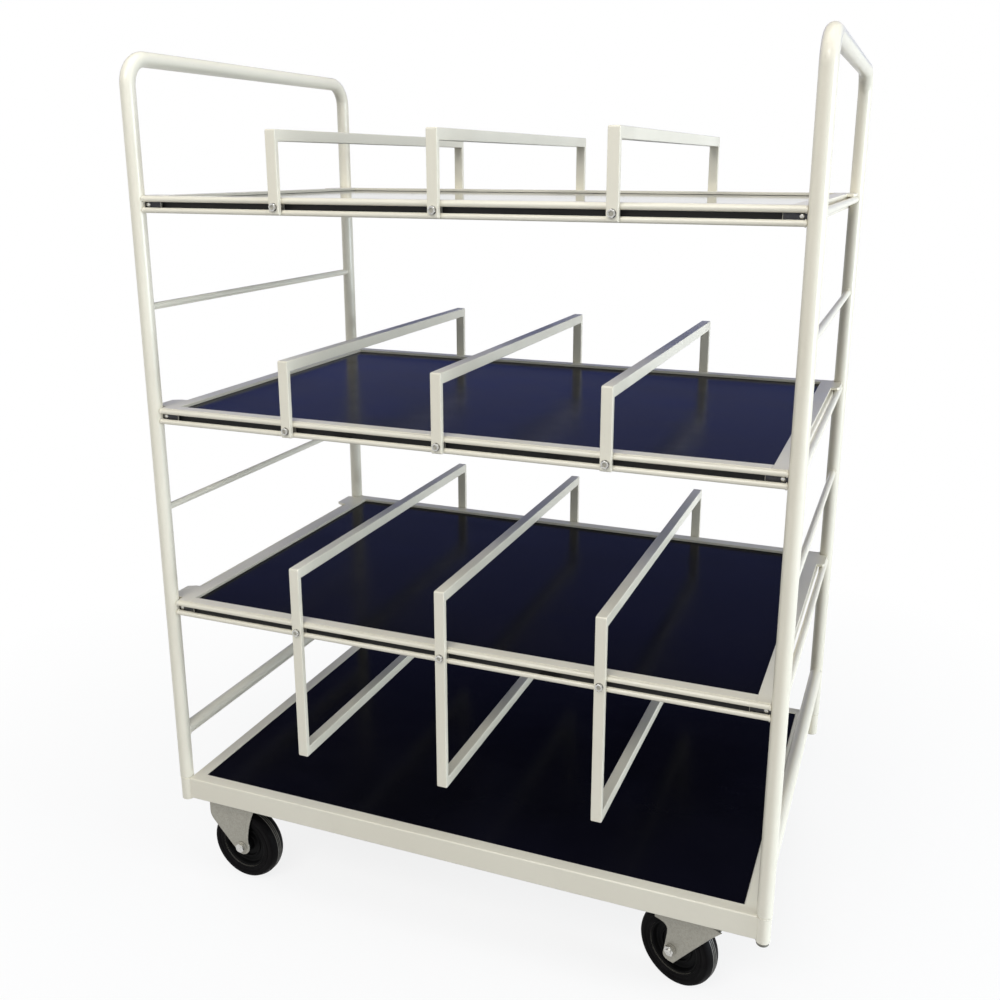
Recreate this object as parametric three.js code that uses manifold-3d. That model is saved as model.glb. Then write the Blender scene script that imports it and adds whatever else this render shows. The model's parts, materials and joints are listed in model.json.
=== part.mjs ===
// Mobile storage rack: a wheeled base deck, two plug-in end frames, three plywood shelves
// and nine sliding divider loops. Millimetres, +Z up, X along the length, front towards -Y.
// The origin is on the floor, under the middle of the rack.

import * as THREE from 'three';
import { mergeVertices } from 'three/addons/utils/BufferGeometryUtils.js';
import Module from 'manifold-3d';

const wasm = await Module();
wasm.setup();

// Overall layout
const RACK_LENGTH = 1216;            // between the post axes, along X
const RACK_DEPTH = 770;              // between the post axes, along Y
const HANDLE_HEIGHT = 1688;          // floor to the axis of the top bar
const SHELF_COUNT = 3;
const LOW_SHELF_HEIGHT = 642;        // floor to the upper rod axis of the lowest shelf
const SHELF_PITCH = 400;

// Fits
const SEAT_GAP = 0.3;                // between pieces that rest on each other
const POST_CLEARANCE = 0.7;          // between a shelf frame and a post
const OVERRUN = 5;                   // how far a cutter runs past what it cuts
const WELD_OVERLAP = 0.5;            // how far welded members run into each other
const WELD_STEP = 0.4;               // between outer faces of members that are welded together

// End frames
const POST_DIAMETER = 28;
const POST_WALL = 2;
const HANDLE_BEND_RADIUS = 49;       // on the tube's centreline
const THIN_RUNG_DIAMETER = 13.5;
const THIN_RUNG_DROP = 200;          // thin guard rung below the shelf rod above it
const LOW_RUNG_HEIGHT = 349;
const LOW_RUNG_DIAMETER = 27.4;
const LOW_RUNG_VENT_DIAMETER = 8;

// Base frame
const RAIL_HEIGHT = 48;
const RAIL_WIDTH = 26.7;
const RAIL_WALL = 2;
const END_RAIL_OVERHANG = 7.7;       // front and rear rails, outside the post axis
const SIDE_RAIL_INSET = 11.5;        // side rails, inside the post axis
const RAIL_DRAIN_DIAMETER = 8;
const RAIL_DRAIN_INSET = 240;        // from the post axis
const STUB_DROP = 3;                 // corner stub below the rails
const STUB_RISE = 1.5;               // corner stub above the rails
const SPIGOT_LENGTH = 60;            // inside the post
const SPIGOT_WALL = 2.7;
const DECK_RECESS = 1;               // deck panel below the rail tops
const DECK_THICKNESS = 15;
const DECK_EDGE_CLEARANCE = 0.5;
const LEDGE_WIDTH = 20;
const LEDGE_THICKNESS = 4;
const CROSS_MEMBER_WIDTH = 40;
const CROSS_MEMBER_DEPTH = 24;
const CROSS_MEMBER_WALL = 3;
const CORNER_PLATE_THICKNESS = 5;
const CORNER_PLATE_MARGIN = 6;       // beyond the castor plate
const STUB_PLUG_HEAD = 7;
const STUB_PLUG_HEAD_DIAMETER = 23;
const STUB_PLUG_SHANK = 14;

// Shelves
const ROD_DIAMETER = 10;
const ROD_PITCH = 20;                // upper rod axis to lower rod axis
const ROD_OUTSET = 1.5;              // rod axis outside the post axis
const ROD_REACH = 8;                 // rod end from the post axis, before it is coped to the post
const FLANGE_TOP = 5.8;              // above the upper rod axis
const FLANGE_THICKNESS = 6;
const SIDE_FLANGE_OUTER = 13;        // from the post axis
const SIDE_FLANGE_INNER = 40;
const END_FLANGE_OUTER = 0.5;
const END_FLANGE_INNER = 25;
const SIDE_WEB_THICKNESS = 3;
const SHELF_LEDGE_WIDTH = 20;
const SHELF_LEDGE_THICKNESS = 3;
const LEFT_EAR_OVERHANG = 16;        // outside the post axis
const RIGHT_EAR_OVERHANG = 4;
const EAR_START = 17;                // along Y, from the post axis
const EAR_REACH = 80;                // along Y, from the post axis, on the inner side
const EAR_OUTER_REACH = 71.5;        // along Y, from the post axis, on the outer side
const TIE_PLATE_REACH = 50;          // along X, from the post axis
const TIE_PLATE_THICKNESS = 4;
const SHELF_PANEL_THICKNESS = 21;
const SHELF_PANEL_EDGE = 11;         // panel edge inside the post axis, front and rear
const SHELF_PANEL_CLEARANCE = 0.5;
const BRACE_COUNT = 2;
const BRACE_WIDTH = 40;
const BRACE_THICKNESS = 2.5;
const BRACE_LEG_DROP = 3.7;          // legs of a brace below its top plate
const BRACE_SETBACK = 61.5;          // legs of a brace inside the rod axis
const BRACE_END_INSET = 1.3;         // top plate of a brace inside the rod axis

// Divider loops
const DIVIDER_COUNT = 3;
const DIVIDER_WIDTH = 20;
const LEG_DEPTH = 10;
const BAR_HEIGHT = 20;
const LOOP_RISE = 120;               // loop top above the upper rod axis
const LEG_DROP = 23.5;               // leg end below the upper rod axis
const LOOP_DROP = 278.5;             // underside of the closed loops below the upper rod axis
const LOOP_CORNER_RADIUS = 3;
const LEG_END_FLAT = 3;              // flat part of a rounded leg end
const LEG_DROP_WALL = 4;             // cap of a leg end
const LOOP_EDGE_CHAMFER = 1.2;
const LOOP_WALL = 1.5;

// Divider clamps
const BOLT_DIAMETER = 8;
const BOLT_HEAD_ACROSS_FLATS = 13;
const BOLT_HEAD_HEIGHT = 5.3;
const BOLT_TAIL = 0.8;               // past the clamp plate
const CLAMP_PLATE_WIDTH = 14;
const CLAMP_PLATE_THICKNESS = 5;
const CLAMP_PLATE_CLEARANCE = 0.7;   // to the shelf flange above and the braces below

// Castors
const WHEEL_DIAMETER = 160;
const WHEEL_WIDTH = 40;
const TYRE_TO_CROWN = 14.9;           // top of the tyre to the underside of the fork crown
const TYRE_INNER_DIAMETER = 106;
const TYRE_SHOULDER_DROP = 6;        // tyre radius lost at the shoulders
const TYRE_SHOULDER_WIDTH = 8;
const SIDEWALL_RING_DIAMETER = 128;
const SIDEWALL_RING_DEPTH = 1.5;
const HUB_WEB_THICKNESS = 12;
const HUB_RIM_THICKNESS = 5;
const HUB_RIM_WIDTH = 34;
const HUB_BARREL_DIAMETER = 36;
const HUB_LENGTH = 46;
const AXLE_DIAMETER = 12;
const AXLE_HEAD_ACROSS_FLATS = 21;
const AXLE_HEAD_HEIGHT = 9;
const AXLE_TAIL = 3;
const CASTOR_TRAIL = 38;
const CASTOR_PLATE_LENGTH = 105;
const CASTOR_PLATE_WIDTH = 85;
const CASTOR_PLATE_THICKNESS = 3.5;
const UPPER_RACE_DIAMETER = 70;
const UPPER_RACE_HEIGHT = 8;
const LOWER_RACE_DIAMETER = 76;
const LOWER_RACE_HEIGHT = 4;
const KINGPIN_DIAMETER = 14;
const KINGPIN_NUT_DIAMETER = 24;
const KINGPIN_NUT_HEIGHT = 7;
const KINGPIN_NUT_GAP = 1;
const KINGPIN_TAIL = 2;
const PLATE_BOLT_SPACING_LENGTH = 80;
const PLATE_BOLT_SPACING_WIDTH = 60;
const PLATE_BOLT_HEAD_DIAMETER = 13;
const PLATE_BOLT_HEAD_HEIGHT = 4;
const FORK_SHEET = 3;
const FORK_CROWN_THICKNESS = 4;
const FORK_LEAD = 80.5;              // leading edge of the legs, from the axle
const FORK_REAR = 16;                // trailing edge of the legs, from the axle
const FORK_FLARE = 19;               // how far the trailing edge flares out under the crown
const FORK_FLARE_TOP = 6;            // upright part of the trailing edge, above the flare
const FORK_FLARE_HEIGHT = 80;
const FORK_FLARE_BEND = 42;          // where the curve turns, below the top of the flare
const FORK_SHOULDER_DROP = 43.6;     // corner of the leading edge below the top of the crown
const FORK_SHOULDER_ROUNDING = 12;   // along the edges on both sides of that corner
const WIDE_LEG_CUT_DROP = 35;        // below this the leg on the +Y side is the wide leg alone
const WIDE_LEG_TRAILING = [          // edge points from the axle, X and Z, upwards
  [4, -28], [12.3, -26.6], [17, -23], [18.4, -18.3], [11.1, 29], [10.7, 39],
  [13.5, 45], [19.4, 49], [29.7, 51], [40, 51],
];
const WIDE_LEG_LEADING = [[-107, 94], [-93, 79], [-81, 66], [-6, -28]];
const FORK_APRON_DROP = 18;
const APRON_FLARE_SHARE = 1 / 3;     // of the flare, where the trailing apron ends
const CROWN_FLARE_SHARE = 2 / 3;     // of the flare, inside the apron under the crown
const FORK_BOSS_RADIUS = 19;
const RUNNING_GAP = 0.5;
const LEFT_CASTOR_INSET_X = 73;      // swivel axis from the post axis
const LEFT_CASTOR_INSET_Y = 53;
const RIGHT_CASTOR_INSET_X = 126;
const RIGHT_CASTOR_INSET_Y = 64;
const FRONT_LEFT_TURN = -3.4;        // degrees, from pointing at the rack's middle
const FRONT_RIGHT_TURN = -21.7;
const REAR_LEFT_TURN = 6;
const REAR_RIGHT_TURN = -14;

// Facets of the round pieces
const POST_SIDES = 24;
const BORE_SIDES = 12;
const RUNG_SIDES = 12;
const ROD_SIDES = 12;
const BOLT_SIDES = 8;
const HEXAGON_SIDES = 6;
const BEND_STEPS = 6;
const WHEEL_SIDES = 28;
const HUB_SIDES = 20;
const DISC_SIDES = 20;
const AXLE_SIDES = 12;
const CORNER_STEPS = 1;
const FORK_STEPS = 4;

// Heights through a castor, from the wheel up to the underside of the base frame
const AXLE_HEIGHT = WHEEL_DIAMETER / 2;
const CROWN_BOTTOM = WHEEL_DIAMETER + TYRE_TO_CROWN;
const CROWN_TOP = CROWN_BOTTOM + FORK_CROWN_THICKNESS;
const LOWER_RACE_TOP = CROWN_TOP + LOWER_RACE_HEIGHT;
const UPPER_RACE_BOTTOM = LOWER_RACE_TOP + SEAT_GAP;
const CASTOR_PLATE_BOTTOM = UPPER_RACE_BOTTOM + UPPER_RACE_HEIGHT;
const CASTOR_PLATE_TOP = CASTOR_PLATE_BOTTOM + CASTOR_PLATE_THICKNESS;
const CASTOR_HEIGHT = CASTOR_PLATE_TOP + SEAT_GAP;

// Other derived places
const HALF_LENGTH = RACK_LENGTH / 2;
const HALF_DEPTH = RACK_DEPTH / 2;
const POST_RADIUS = POST_DIAMETER / 2;
const BORE_RADIUS = POST_RADIUS - POST_WALL;
const ROD_RADIUS = ROD_DIAMETER / 2;
const DECK_TOP = CASTOR_HEIGHT + RAIL_HEIGHT;
const STUB_TOP = DECK_TOP + STUB_RISE;
const STUB_BOTTOM = CASTOR_HEIGHT - STUB_DROP;
const SPIGOT_RADIUS = BORE_RADIUS - SEAT_GAP;
const SPIGOT_BORE_RADIUS = SPIGOT_RADIUS - SPIGOT_WALL;
const FLANGE_BOTTOM = FLANGE_TOP - FLANGE_THICKNESS;
const SHELF_RUNG_DROP = THIN_RUNG_DIAMETER / 2 + SEAT_GAP - FLANGE_BOTTOM;
const SHELF_PANEL_TOP = FLANGE_BOTTOM - SEAT_GAP;
const SHELF_PANEL_BOTTOM = SHELF_PANEL_TOP - SHELF_PANEL_THICKNESS;
const SHELF_LEDGE_TOP = SHELF_PANEL_BOTTOM - SEAT_GAP;
const CLAMP_PLATE_BOTTOM = SHELF_LEDGE_TOP + CLAMP_PLATE_CLEARANCE;
const CLAMP_PLATE_TOP = FLANGE_BOTTOM - CLAMP_PLATE_CLEARANCE;
const ROD_Y = HALF_DEPTH + ROD_OUTSET;
const LEG_INNER_Y = ROD_Y + ROD_RADIUS + SEAT_GAP;
const LEG_OUTER_Y = LEG_INNER_Y + LEG_DEPTH;
const CLAMP_OUTER_Y = ROD_Y - ROD_RADIUS - SEAT_GAP;
const CLAMP_INNER_Y = CLAMP_OUTER_Y - CLAMP_PLATE_THICKNESS;
const GAP_CENTRE_DROP = ROD_PITCH / 2;
const FORK_INNER = HUB_LENGTH / 2 + RUNNING_GAP;
const FORK_OUTER = FORK_INNER + FORK_SHEET;

// Finishes
const PAINT = { color: 0xdedac9, roughness: 0.38, metalness: 0 };
const PANEL_FILM = { color: 0x17171f, roughness: 0.35, metalness: 0 };
const ZINC = { color: 0xa3a097, roughness: 0.42, metalness: 0.85 };
const BRIGHT_ZINC = { color: 0xc9c8c4, roughness: 0.25, metalness: 0.95 };
const RUBBER = { color: 0x121212, roughness: 0.75, metalness: 0 };
const HUB_PLASTIC = { color: 0x0b0b0c, roughness: 0.5, metalness: 0 };
const PLUG_PLASTIC = { color: 0x6d6c62, roughness: 0.6, metalness: 0 };

// Solids from three.js geometries
function solid(geometry) {
  const bare = geometry.clone();
  bare.deleteAttribute('normal');
  bare.deleteAttribute('uv');
  const merged = mergeVertices(bare);
  const vertProperties = new Float32Array(merged.attributes.position.array);
  const triVerts = new Uint32Array(merged.index.array);
  return new wasm.Manifold(new wasm.Mesh({ numProp: 3, vertProperties, triVerts }));
}

function joined(pieces) {
  return pieces.reduce((sum, piece) => sum.add(piece));
}

function cut(body, cutters) {
  return cutters.reduce((rest, cutter) => rest.subtract(cutter), body);
}

function geometryOf(manifold) {
  const mesh = manifold.getMesh();
  const points = new Float32Array(mesh.vertProperties);
  const geometry = new THREE.BufferGeometry();
  geometry.setAttribute('position', new THREE.BufferAttribute(points, mesh.numProp));
  geometry.setIndex(new THREE.BufferAttribute(new Uint32Array(mesh.triVerts), 1));
  geometry.computeVertexNormals();
  return geometry;
}

function box(low, high) {
  const size = new THREE.Vector3().subVectors(high, low);
  const centre = new THREE.Vector3().addVectors(low, high).multiplyScalar(1 / 2);
  return solid(new THREE.BoxGeometry(size.x, size.y, size.z).translate(centre.x, centre.y, centre.z));
}

function vec(x, y, z) {
  return new THREE.Vector3(x, y, z);
}

// A box given by two opposite corners in any order
function boxBetween(a, b) {
  return box(a.clone().min(b), a.clone().max(b));
}

// A round bar from one point to another
function bar(from, to, radius, sides) {
  const axis = new THREE.Vector3().subVectors(to, from);
  const geometry = new THREE.CylinderGeometry(radius, radius, axis.length(), sides);
  const turn = new THREE.Quaternion().setFromUnitVectors(vec(0, 1, 0), axis.clone().normalize());
  const middle = new THREE.Vector3().addVectors(from, to).multiplyScalar(1 / 2);
  return solid(geometry.applyQuaternion(turn).translate(middle.x, middle.y, middle.z));
}

// A hexagonal bar along Y
function hexBar(centre, acrossFlats, yFrom, yTo) {
  const radius = acrossFlats / Math.sqrt(3);
  const geometry = new THREE.CylinderGeometry(radius, radius, Math.abs(yTo - yFrom), HEXAGON_SIDES);
  return solid(geometry.translate(centre.x, (yFrom + yTo) / 2, centre.z));
}

// An outline in the YZ plane, extruded along X about x = 0
function extrudeAcross(shape, width, chamfer) {
  const geometry = new THREE.ExtrudeGeometry(shape, {
    depth: width - 2 * chamfer,
    bevelEnabled: chamfer > 0,
    bevelSize: chamfer,
    bevelThickness: chamfer,
    bevelOffset: -chamfer,
    bevelSegments: 1,
    curveSegments: CORNER_STEPS,
  });
  geometry.translate(0, 0, chamfer - width / 2);
  const turn = new THREE.Matrix4().makeBasis(vec(0, 1, 0), vec(0, 0, 1), vec(1, 0, 0));
  return solid(geometry.applyMatrix4(turn));
}

// An outline in the XY plane, extruded upwards
function extrudeUp(shape, bottom, top) {
  const geometry = new THREE.ExtrudeGeometry(shape, {
    depth: top - bottom,
    bevelEnabled: false,
  });
  return solid(geometry.translate(0, 0, bottom));
}

// An outline in the XZ plane, extruded along Y about y = 0
function extrudeSideways(shape, width) {
  const geometry = new THREE.ExtrudeGeometry(shape, {
    depth: width,
    bevelEnabled: false,
    curveSegments: FORK_STEPS,
  });
  return solid(geometry.rotateX(Math.PI / 2).translate(0, width / 2, 0));
}

// A rectangle about the vertical axis of its own plane
function rectangle(Kind, halfWidth, bottom, top) {
  const outline = new Kind();
  outline.moveTo(-halfWidth, bottom);
  outline.lineTo(halfWidth, bottom);
  outline.lineTo(halfWidth, top);
  outline.lineTo(-halfWidth, top);
  outline.closePath();
  return outline;
}

// A rectangular ring in the XY plane, from one height to another
function ring(outerX, outerY, innerX, innerY, bottom, top) {
  const outline = rectangle(THREE.Shape, outerX, -outerY, outerY);
  outline.holes.push(rectangle(THREE.Path, innerX, -innerY, innerY));
  return extrudeUp(outline, bottom, top);
}

// A closed profile of radius and height, turned round the Y axis
function turned(profile, sides) {
  const points = profile.map(([radius, height]) => new THREE.Vector2(radius, height));
  return solid(new THREE.LatheGeometry(points, sides));
}

// A curve that is sampled only where its direction changes
class StationCurve extends THREE.Curve {
  constructor(stations) {
    super();
    this.stations = stations;
  }

  station(u) {
    return this.stations[Math.round(u * (this.stations.length - 1))];
  }

  getPointAt(u) {
    return this.station(u).point.clone();
  }

  getTangentAt(u) {
    return this.station(u).tangent.clone();
  }
}

// The centreline of an upside-down U in the YZ plane
function hoopStations(x, bottom) {
  const bendY = HALF_DEPTH - HANDLE_BEND_RADIUS;
  const bendZ = HANDLE_HEIGHT - HANDLE_BEND_RADIUS;
  const stations = [{ point: vec(x, -HALF_DEPTH, bottom), tangent: vec(0, 0, 1) }];
  for (const side of [-1, 1]) {
    for (let step = 0; step <= BEND_STEPS; step += 1) {
      const share = side < 0 ? step / BEND_STEPS : 1 - step / BEND_STEPS;
      const angle = share * Math.PI / 2;
      const y = side * (bendY + HANDLE_BEND_RADIUS * Math.cos(angle));
      const z = bendZ + HANDLE_BEND_RADIUS * Math.sin(angle);
      stations.push({ point: vec(x, y, z), tangent: vec(0, Math.sin(angle), -side * Math.cos(angle)) });
    }
  }
  stations.push({ point: vec(x, HALF_DEPTH, bottom), tangent: vec(0, 0, -1) });
  return stations;
}

function hoop(x, radius, bottom, sides) {
  const section = new THREE.Shape();
  section.absarc(0, 0, radius, 0, 2 * Math.PI);
  const stations = hoopStations(x, bottom);
  const geometry = new THREE.ExtrudeGeometry(section, {
    steps: stations.length - 1,
    curveSegments: sides / 2,
    bevelEnabled: false,
    extrudePath: new StationCurve(stations),
  });
  return solid(geometry);
}

function shelfHeight(level) {
  return LOW_SHELF_HEIGHT + level * SHELF_PITCH;
}

// End frame: a bent tube hoop with welded rungs
function endFrame(x) {
  const bottom = STUB_TOP + SEAT_GAP;
  const rungs = [];
  const rung = (height, diameter, sides) => {
    rungs.push(bar(vec(x, -HALF_DEPTH, height), vec(x, HALF_DEPTH, height), diameter / 2, sides));
  };
  for (let level = 0; level < SHELF_COUNT; level += 1) {
    const rodHeight = shelfHeight(level);
    rung(rodHeight - SHELF_RUNG_DROP, THIN_RUNG_DIAMETER, RUNG_SIDES);
    if (level < SHELF_COUNT - 1) {
      rung(rodHeight + SHELF_PITCH - THIN_RUNG_DROP, THIN_RUNG_DIAMETER, RUNG_SIDES);
    }
  }
  rung(LOW_RUNG_HEIGHT, LOW_RUNG_DIAMETER, POST_SIDES);
  const rungBoreEnd = HALF_DEPTH - POST_RADIUS;
  const cutters = [
    hoop(x, BORE_RADIUS, bottom - OVERRUN, BORE_SIDES),
    bar(vec(x, -rungBoreEnd, LOW_RUNG_HEIGHT), vec(x, rungBoreEnd, LOW_RUNG_HEIGHT),
      LOW_RUNG_DIAMETER / 2 - POST_WALL, BORE_SIDES),
    bar(vec(x, -HALF_DEPTH, LOW_RUNG_HEIGHT), vec(x, HALF_DEPTH, LOW_RUNG_HEIGHT),
      LOW_RUNG_VENT_DIAMETER / 2, BOLT_SIDES),
  ];
  return cut(joined([hoop(x, POST_RADIUS, bottom, POST_SIDES), ...rungs]), cutters);
}

// Where the castors stand, and where each fork happens to point
function castorPlaces() {
  const left = LEFT_CASTOR_INSET_X - HALF_LENGTH;
  const right = HALF_LENGTH - RIGHT_CASTOR_INSET_X;
  const leftY = HALF_DEPTH - LEFT_CASTOR_INSET_Y;
  const rightY = HALF_DEPTH - RIGHT_CASTOR_INSET_Y;
  const turn = THREE.MathUtils.degToRad;
  return [
    { name: 'front_left', x: left, y: -leftY, heading: turn(FRONT_LEFT_TURN) },
    { name: 'front_right', x: right, y: -rightY, heading: turn(FRONT_RIGHT_TURN) + Math.PI },
    { name: 'rear_left', x: left, y: leftY, heading: turn(REAR_LEFT_TURN) },
    { name: 'rear_right', x: right, y: rightY, heading: turn(REAR_RIGHT_TURN) + Math.PI },
  ];
}

// Base frame: a ring of hollow rails with corner stubs, ledges, corner plates and a cross member
function baseFrame() {
  const outerX = HALF_LENGTH - SIDE_RAIL_INSET;
  const outerY = HALF_DEPTH + END_RAIL_OVERHANG;
  const innerX = outerX - RAIL_WIDTH;
  const innerY = outerY - RAIL_WIDTH;
  const ledgeTop = DECK_TOP - DECK_RECESS - DECK_THICKNESS - SEAT_GAP;
  const rails = ring(outerX, outerY, innerX, innerY, CASTOR_HEIGHT, DECK_TOP);
  const inside = ring(
    outerX - RAIL_WALL, outerY - RAIL_WALL, innerX + RAIL_WALL, innerY + RAIL_WALL,
    CASTOR_HEIGHT + RAIL_WALL, DECK_TOP - RAIL_WALL,
  );
  const ledges = ring(
    innerX + WELD_OVERLAP, innerY + WELD_OVERLAP, innerX - LEDGE_WIDTH, innerY - LEDGE_WIDTH,
    ledgeTop - LEDGE_THICKNESS, ledgeTop,
  );
  const drains = [];
  for (const xSide of [-1, 1]) {
    for (const ySide of [-1, 1]) {
      drains.push(drain(xSide * (HALF_LENGTH - RAIL_DRAIN_INSET), ySide * (outerY - RAIL_WIDTH / 2)));
      drains.push(drain(xSide * (outerX - RAIL_WIDTH / 2), ySide * (HALF_DEPTH - RAIL_DRAIN_INSET)));
    }
  }
  let frame = cut(rails, [inside, ...drains]).add(ledges).add(crossMember(ledgeTop - WELD_STEP, innerY));
  for (const castor of castorPlaces()) {
    frame = frame.add(cornerPlate(castor, innerX, innerY));
  }
  for (const xSide of [-1, 1]) {
    for (const ySide of [-1, 1]) {
      frame = cornerStub(frame, xSide * HALF_LENGTH, ySide * HALF_DEPTH);
    }
  }
  return frame;
}

// A drain hole in the underside of a rail
function drain(x, y) {
  const low = vec(x, y, CASTOR_HEIGHT - OVERRUN);
  const high = vec(x, y, CASTOR_HEIGHT + OVERRUN);
  return bar(low, high, RAIL_DRAIN_DIAMETER / 2, BOLT_SIDES);
}

// An inverted channel under the middle of the deck panel
function crossMember(top, innerY) {
  const half = CROSS_MEMBER_WIDTH / 2;
  const hollow = half - CROSS_MEMBER_WALL;
  const bottom = top - CROSS_MEMBER_DEPTH;
  const end = innerY + WELD_OVERLAP;
  const inner = innerY - CROSS_MEMBER_WALL;
  return box(vec(-half, -end, bottom), vec(half, end, top))
    .subtract(box(vec(-hollow, -inner, bottom - OVERRUN), vec(hollow, inner, top - CROSS_MEMBER_WALL)));
}

// The plate between the rails that a castor is bolted to
function cornerPlate(castor, innerX, innerY) {
  const xSide = Math.sign(castor.x);
  const ySide = Math.sign(castor.y);
  const nearX = Math.abs(castor.x) - CASTOR_PLATE_LENGTH / 2 - CORNER_PLATE_MARGIN;
  const nearY = Math.abs(castor.y) - CASTOR_PLATE_WIDTH / 2 - CORNER_PLATE_MARGIN;
  const bottom = CASTOR_HEIGHT + WELD_STEP;
  return boxBetween(
    vec(xSide * nearX, ySide * nearY, bottom),
    vec(xSide * (innerX + WELD_OVERLAP), ySide * (innerY + WELD_OVERLAP), bottom + CORNER_PLATE_THICKNESS),
  );
}

// A corner stub with the spigot that the post drops over
function cornerStub(frame, x, y) {
  const spigotTop = STUB_TOP + SPIGOT_LENGTH;
  const stub = bar(vec(x, y, STUB_BOTTOM), vec(x, y, STUB_TOP), POST_RADIUS, POST_SIDES);
  const spigot = bar(vec(x, y, CASTOR_HEIGHT), vec(x, y, spigotTop), SPIGOT_RADIUS, BORE_SIDES);
  const bore = bar(vec(x, y, STUB_BOTTOM - OVERRUN), vec(x, y, spigotTop + OVERRUN),
    SPIGOT_BORE_RADIUS, BORE_SIDES);
  return frame.add(stub).add(spigot).subtract(bore);
}

function deckPanel() {
  const halfX = HALF_LENGTH - SIDE_RAIL_INSET - RAIL_WIDTH - DECK_EDGE_CLEARANCE;
  const halfY = HALF_DEPTH + END_RAIL_OVERHANG - RAIL_WIDTH - DECK_EDGE_CLEARANCE;
  const top = DECK_TOP - DECK_RECESS;
  return box(vec(-halfX, -halfY, top - DECK_THICKNESS), vec(halfX, halfY, top));
}

// The plastic plug in the open end of a corner stub
function stubPlug(x, y) {
  const top = STUB_BOTTOM - SEAT_GAP;
  const head = bar(vec(x, y, top - STUB_PLUG_HEAD), vec(x, y, top), STUB_PLUG_HEAD_DIAMETER / 2, POST_SIDES);
  const shank = bar(vec(x, y, top - STUB_PLUG_HEAD / 2), vec(x, y, top + STUB_PLUG_SHANK),
    SPIGOT_BORE_RADIUS - SEAT_GAP, BORE_SIDES);
  return head.add(shank);
}

// The flange plate seen from above, with an ear that rests on a shelf rung at each corner
function flangeOutline() {
  const rightSide = flangeSide(RIGHT_EAR_OVERHANG);
  const leftSide = flangeSide(LEFT_EAR_OVERHANG).map(([x, y]) => [-x, -y]);
  const shape = new THREE.Shape([...rightSide, ...leftSide].map(([x, y]) => new THREE.Vector2(x, y)));
  const openX = HALF_LENGTH - SIDE_FLANGE_INNER;
  const openY = HALF_DEPTH - END_FLANGE_INNER;
  shape.holes.push(rectangle(THREE.Path, openX, -openY, openY));
  return shape;
}

// The right side of that outline, from front to rear
function flangeSide(overhang) {
  const side = HALF_LENGTH - SIDE_FLANGE_OUTER;
  const end = HALF_DEPTH - END_FLANGE_OUTER;
  const tip = HALF_LENGTH + overhang;
  const ear = [
    [side, HALF_DEPTH - EAR_REACH],
    [HALF_LENGTH, HALF_DEPTH - EAR_REACH],
    [tip, HALF_DEPTH - EAR_OUTER_REACH],
    [tip, HALF_DEPTH - EAR_START],
    [side, HALF_DEPTH - EAR_START],
    [side, end],
  ];
  return [...ear.map(([x, y]) => [x, -y]).reverse(), ...ear];
}

// The angle iron along one side of a shelf: an upright web and the ledge that carries the panel
function sideAngle(xSide, rodHeight, top, halfLength) {
  const outer = HALF_LENGTH - SIDE_FLANGE_OUTER - WELD_STEP;
  const web = outer - SIDE_WEB_THICKNESS;
  const inner = outer - SHELF_LEDGE_WIDTH;
  const ledgeTop = rodHeight + SHELF_LEDGE_TOP;
  const ledgeBottom = ledgeTop - SHELF_LEDGE_THICKNESS;
  const section = [
    [outer, ledgeBottom], [outer, top], [web, top], [web, ledgeTop], [inner, ledgeTop], [inner, ledgeBottom],
  ];
  const shape = new THREE.Shape(section.map(([x, z]) => new THREE.Vector2(xSide * x, z)));
  const geometry = new THREE.ExtrudeGeometry(shape, { depth: 2 * halfLength, bevelEnabled: false });
  return solid(geometry.rotateX(Math.PI / 2).translate(0, halfLength, 0));
}

// An inverted channel under the panel, from the lower front rod to the lower rear one
function shelfBrace(rodHeight, x) {
  const top = rodHeight + SHELF_LEDGE_TOP;
  const bottom = top - BRACE_THICKNESS;
  const half = BRACE_WIDTH / 2;
  const plateEnd = ROD_Y - BRACE_END_INSET;
  const legEnd = ROD_Y - BRACE_SETBACK;
  const pieces = [box(vec(x - half, -plateEnd, bottom), vec(x + half, plateEnd, top))];
  for (const side of [-1, 1]) {
    const outer = x + side * (half - WELD_STEP);
    pieces.push(boxBetween(
      vec(outer, -legEnd, bottom - BRACE_LEG_DROP),
      vec(outer - side * BRACE_THICKNESS, legEnd, (bottom + top) / 2),
    ));
  }
  return joined(pieces);
}

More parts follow.
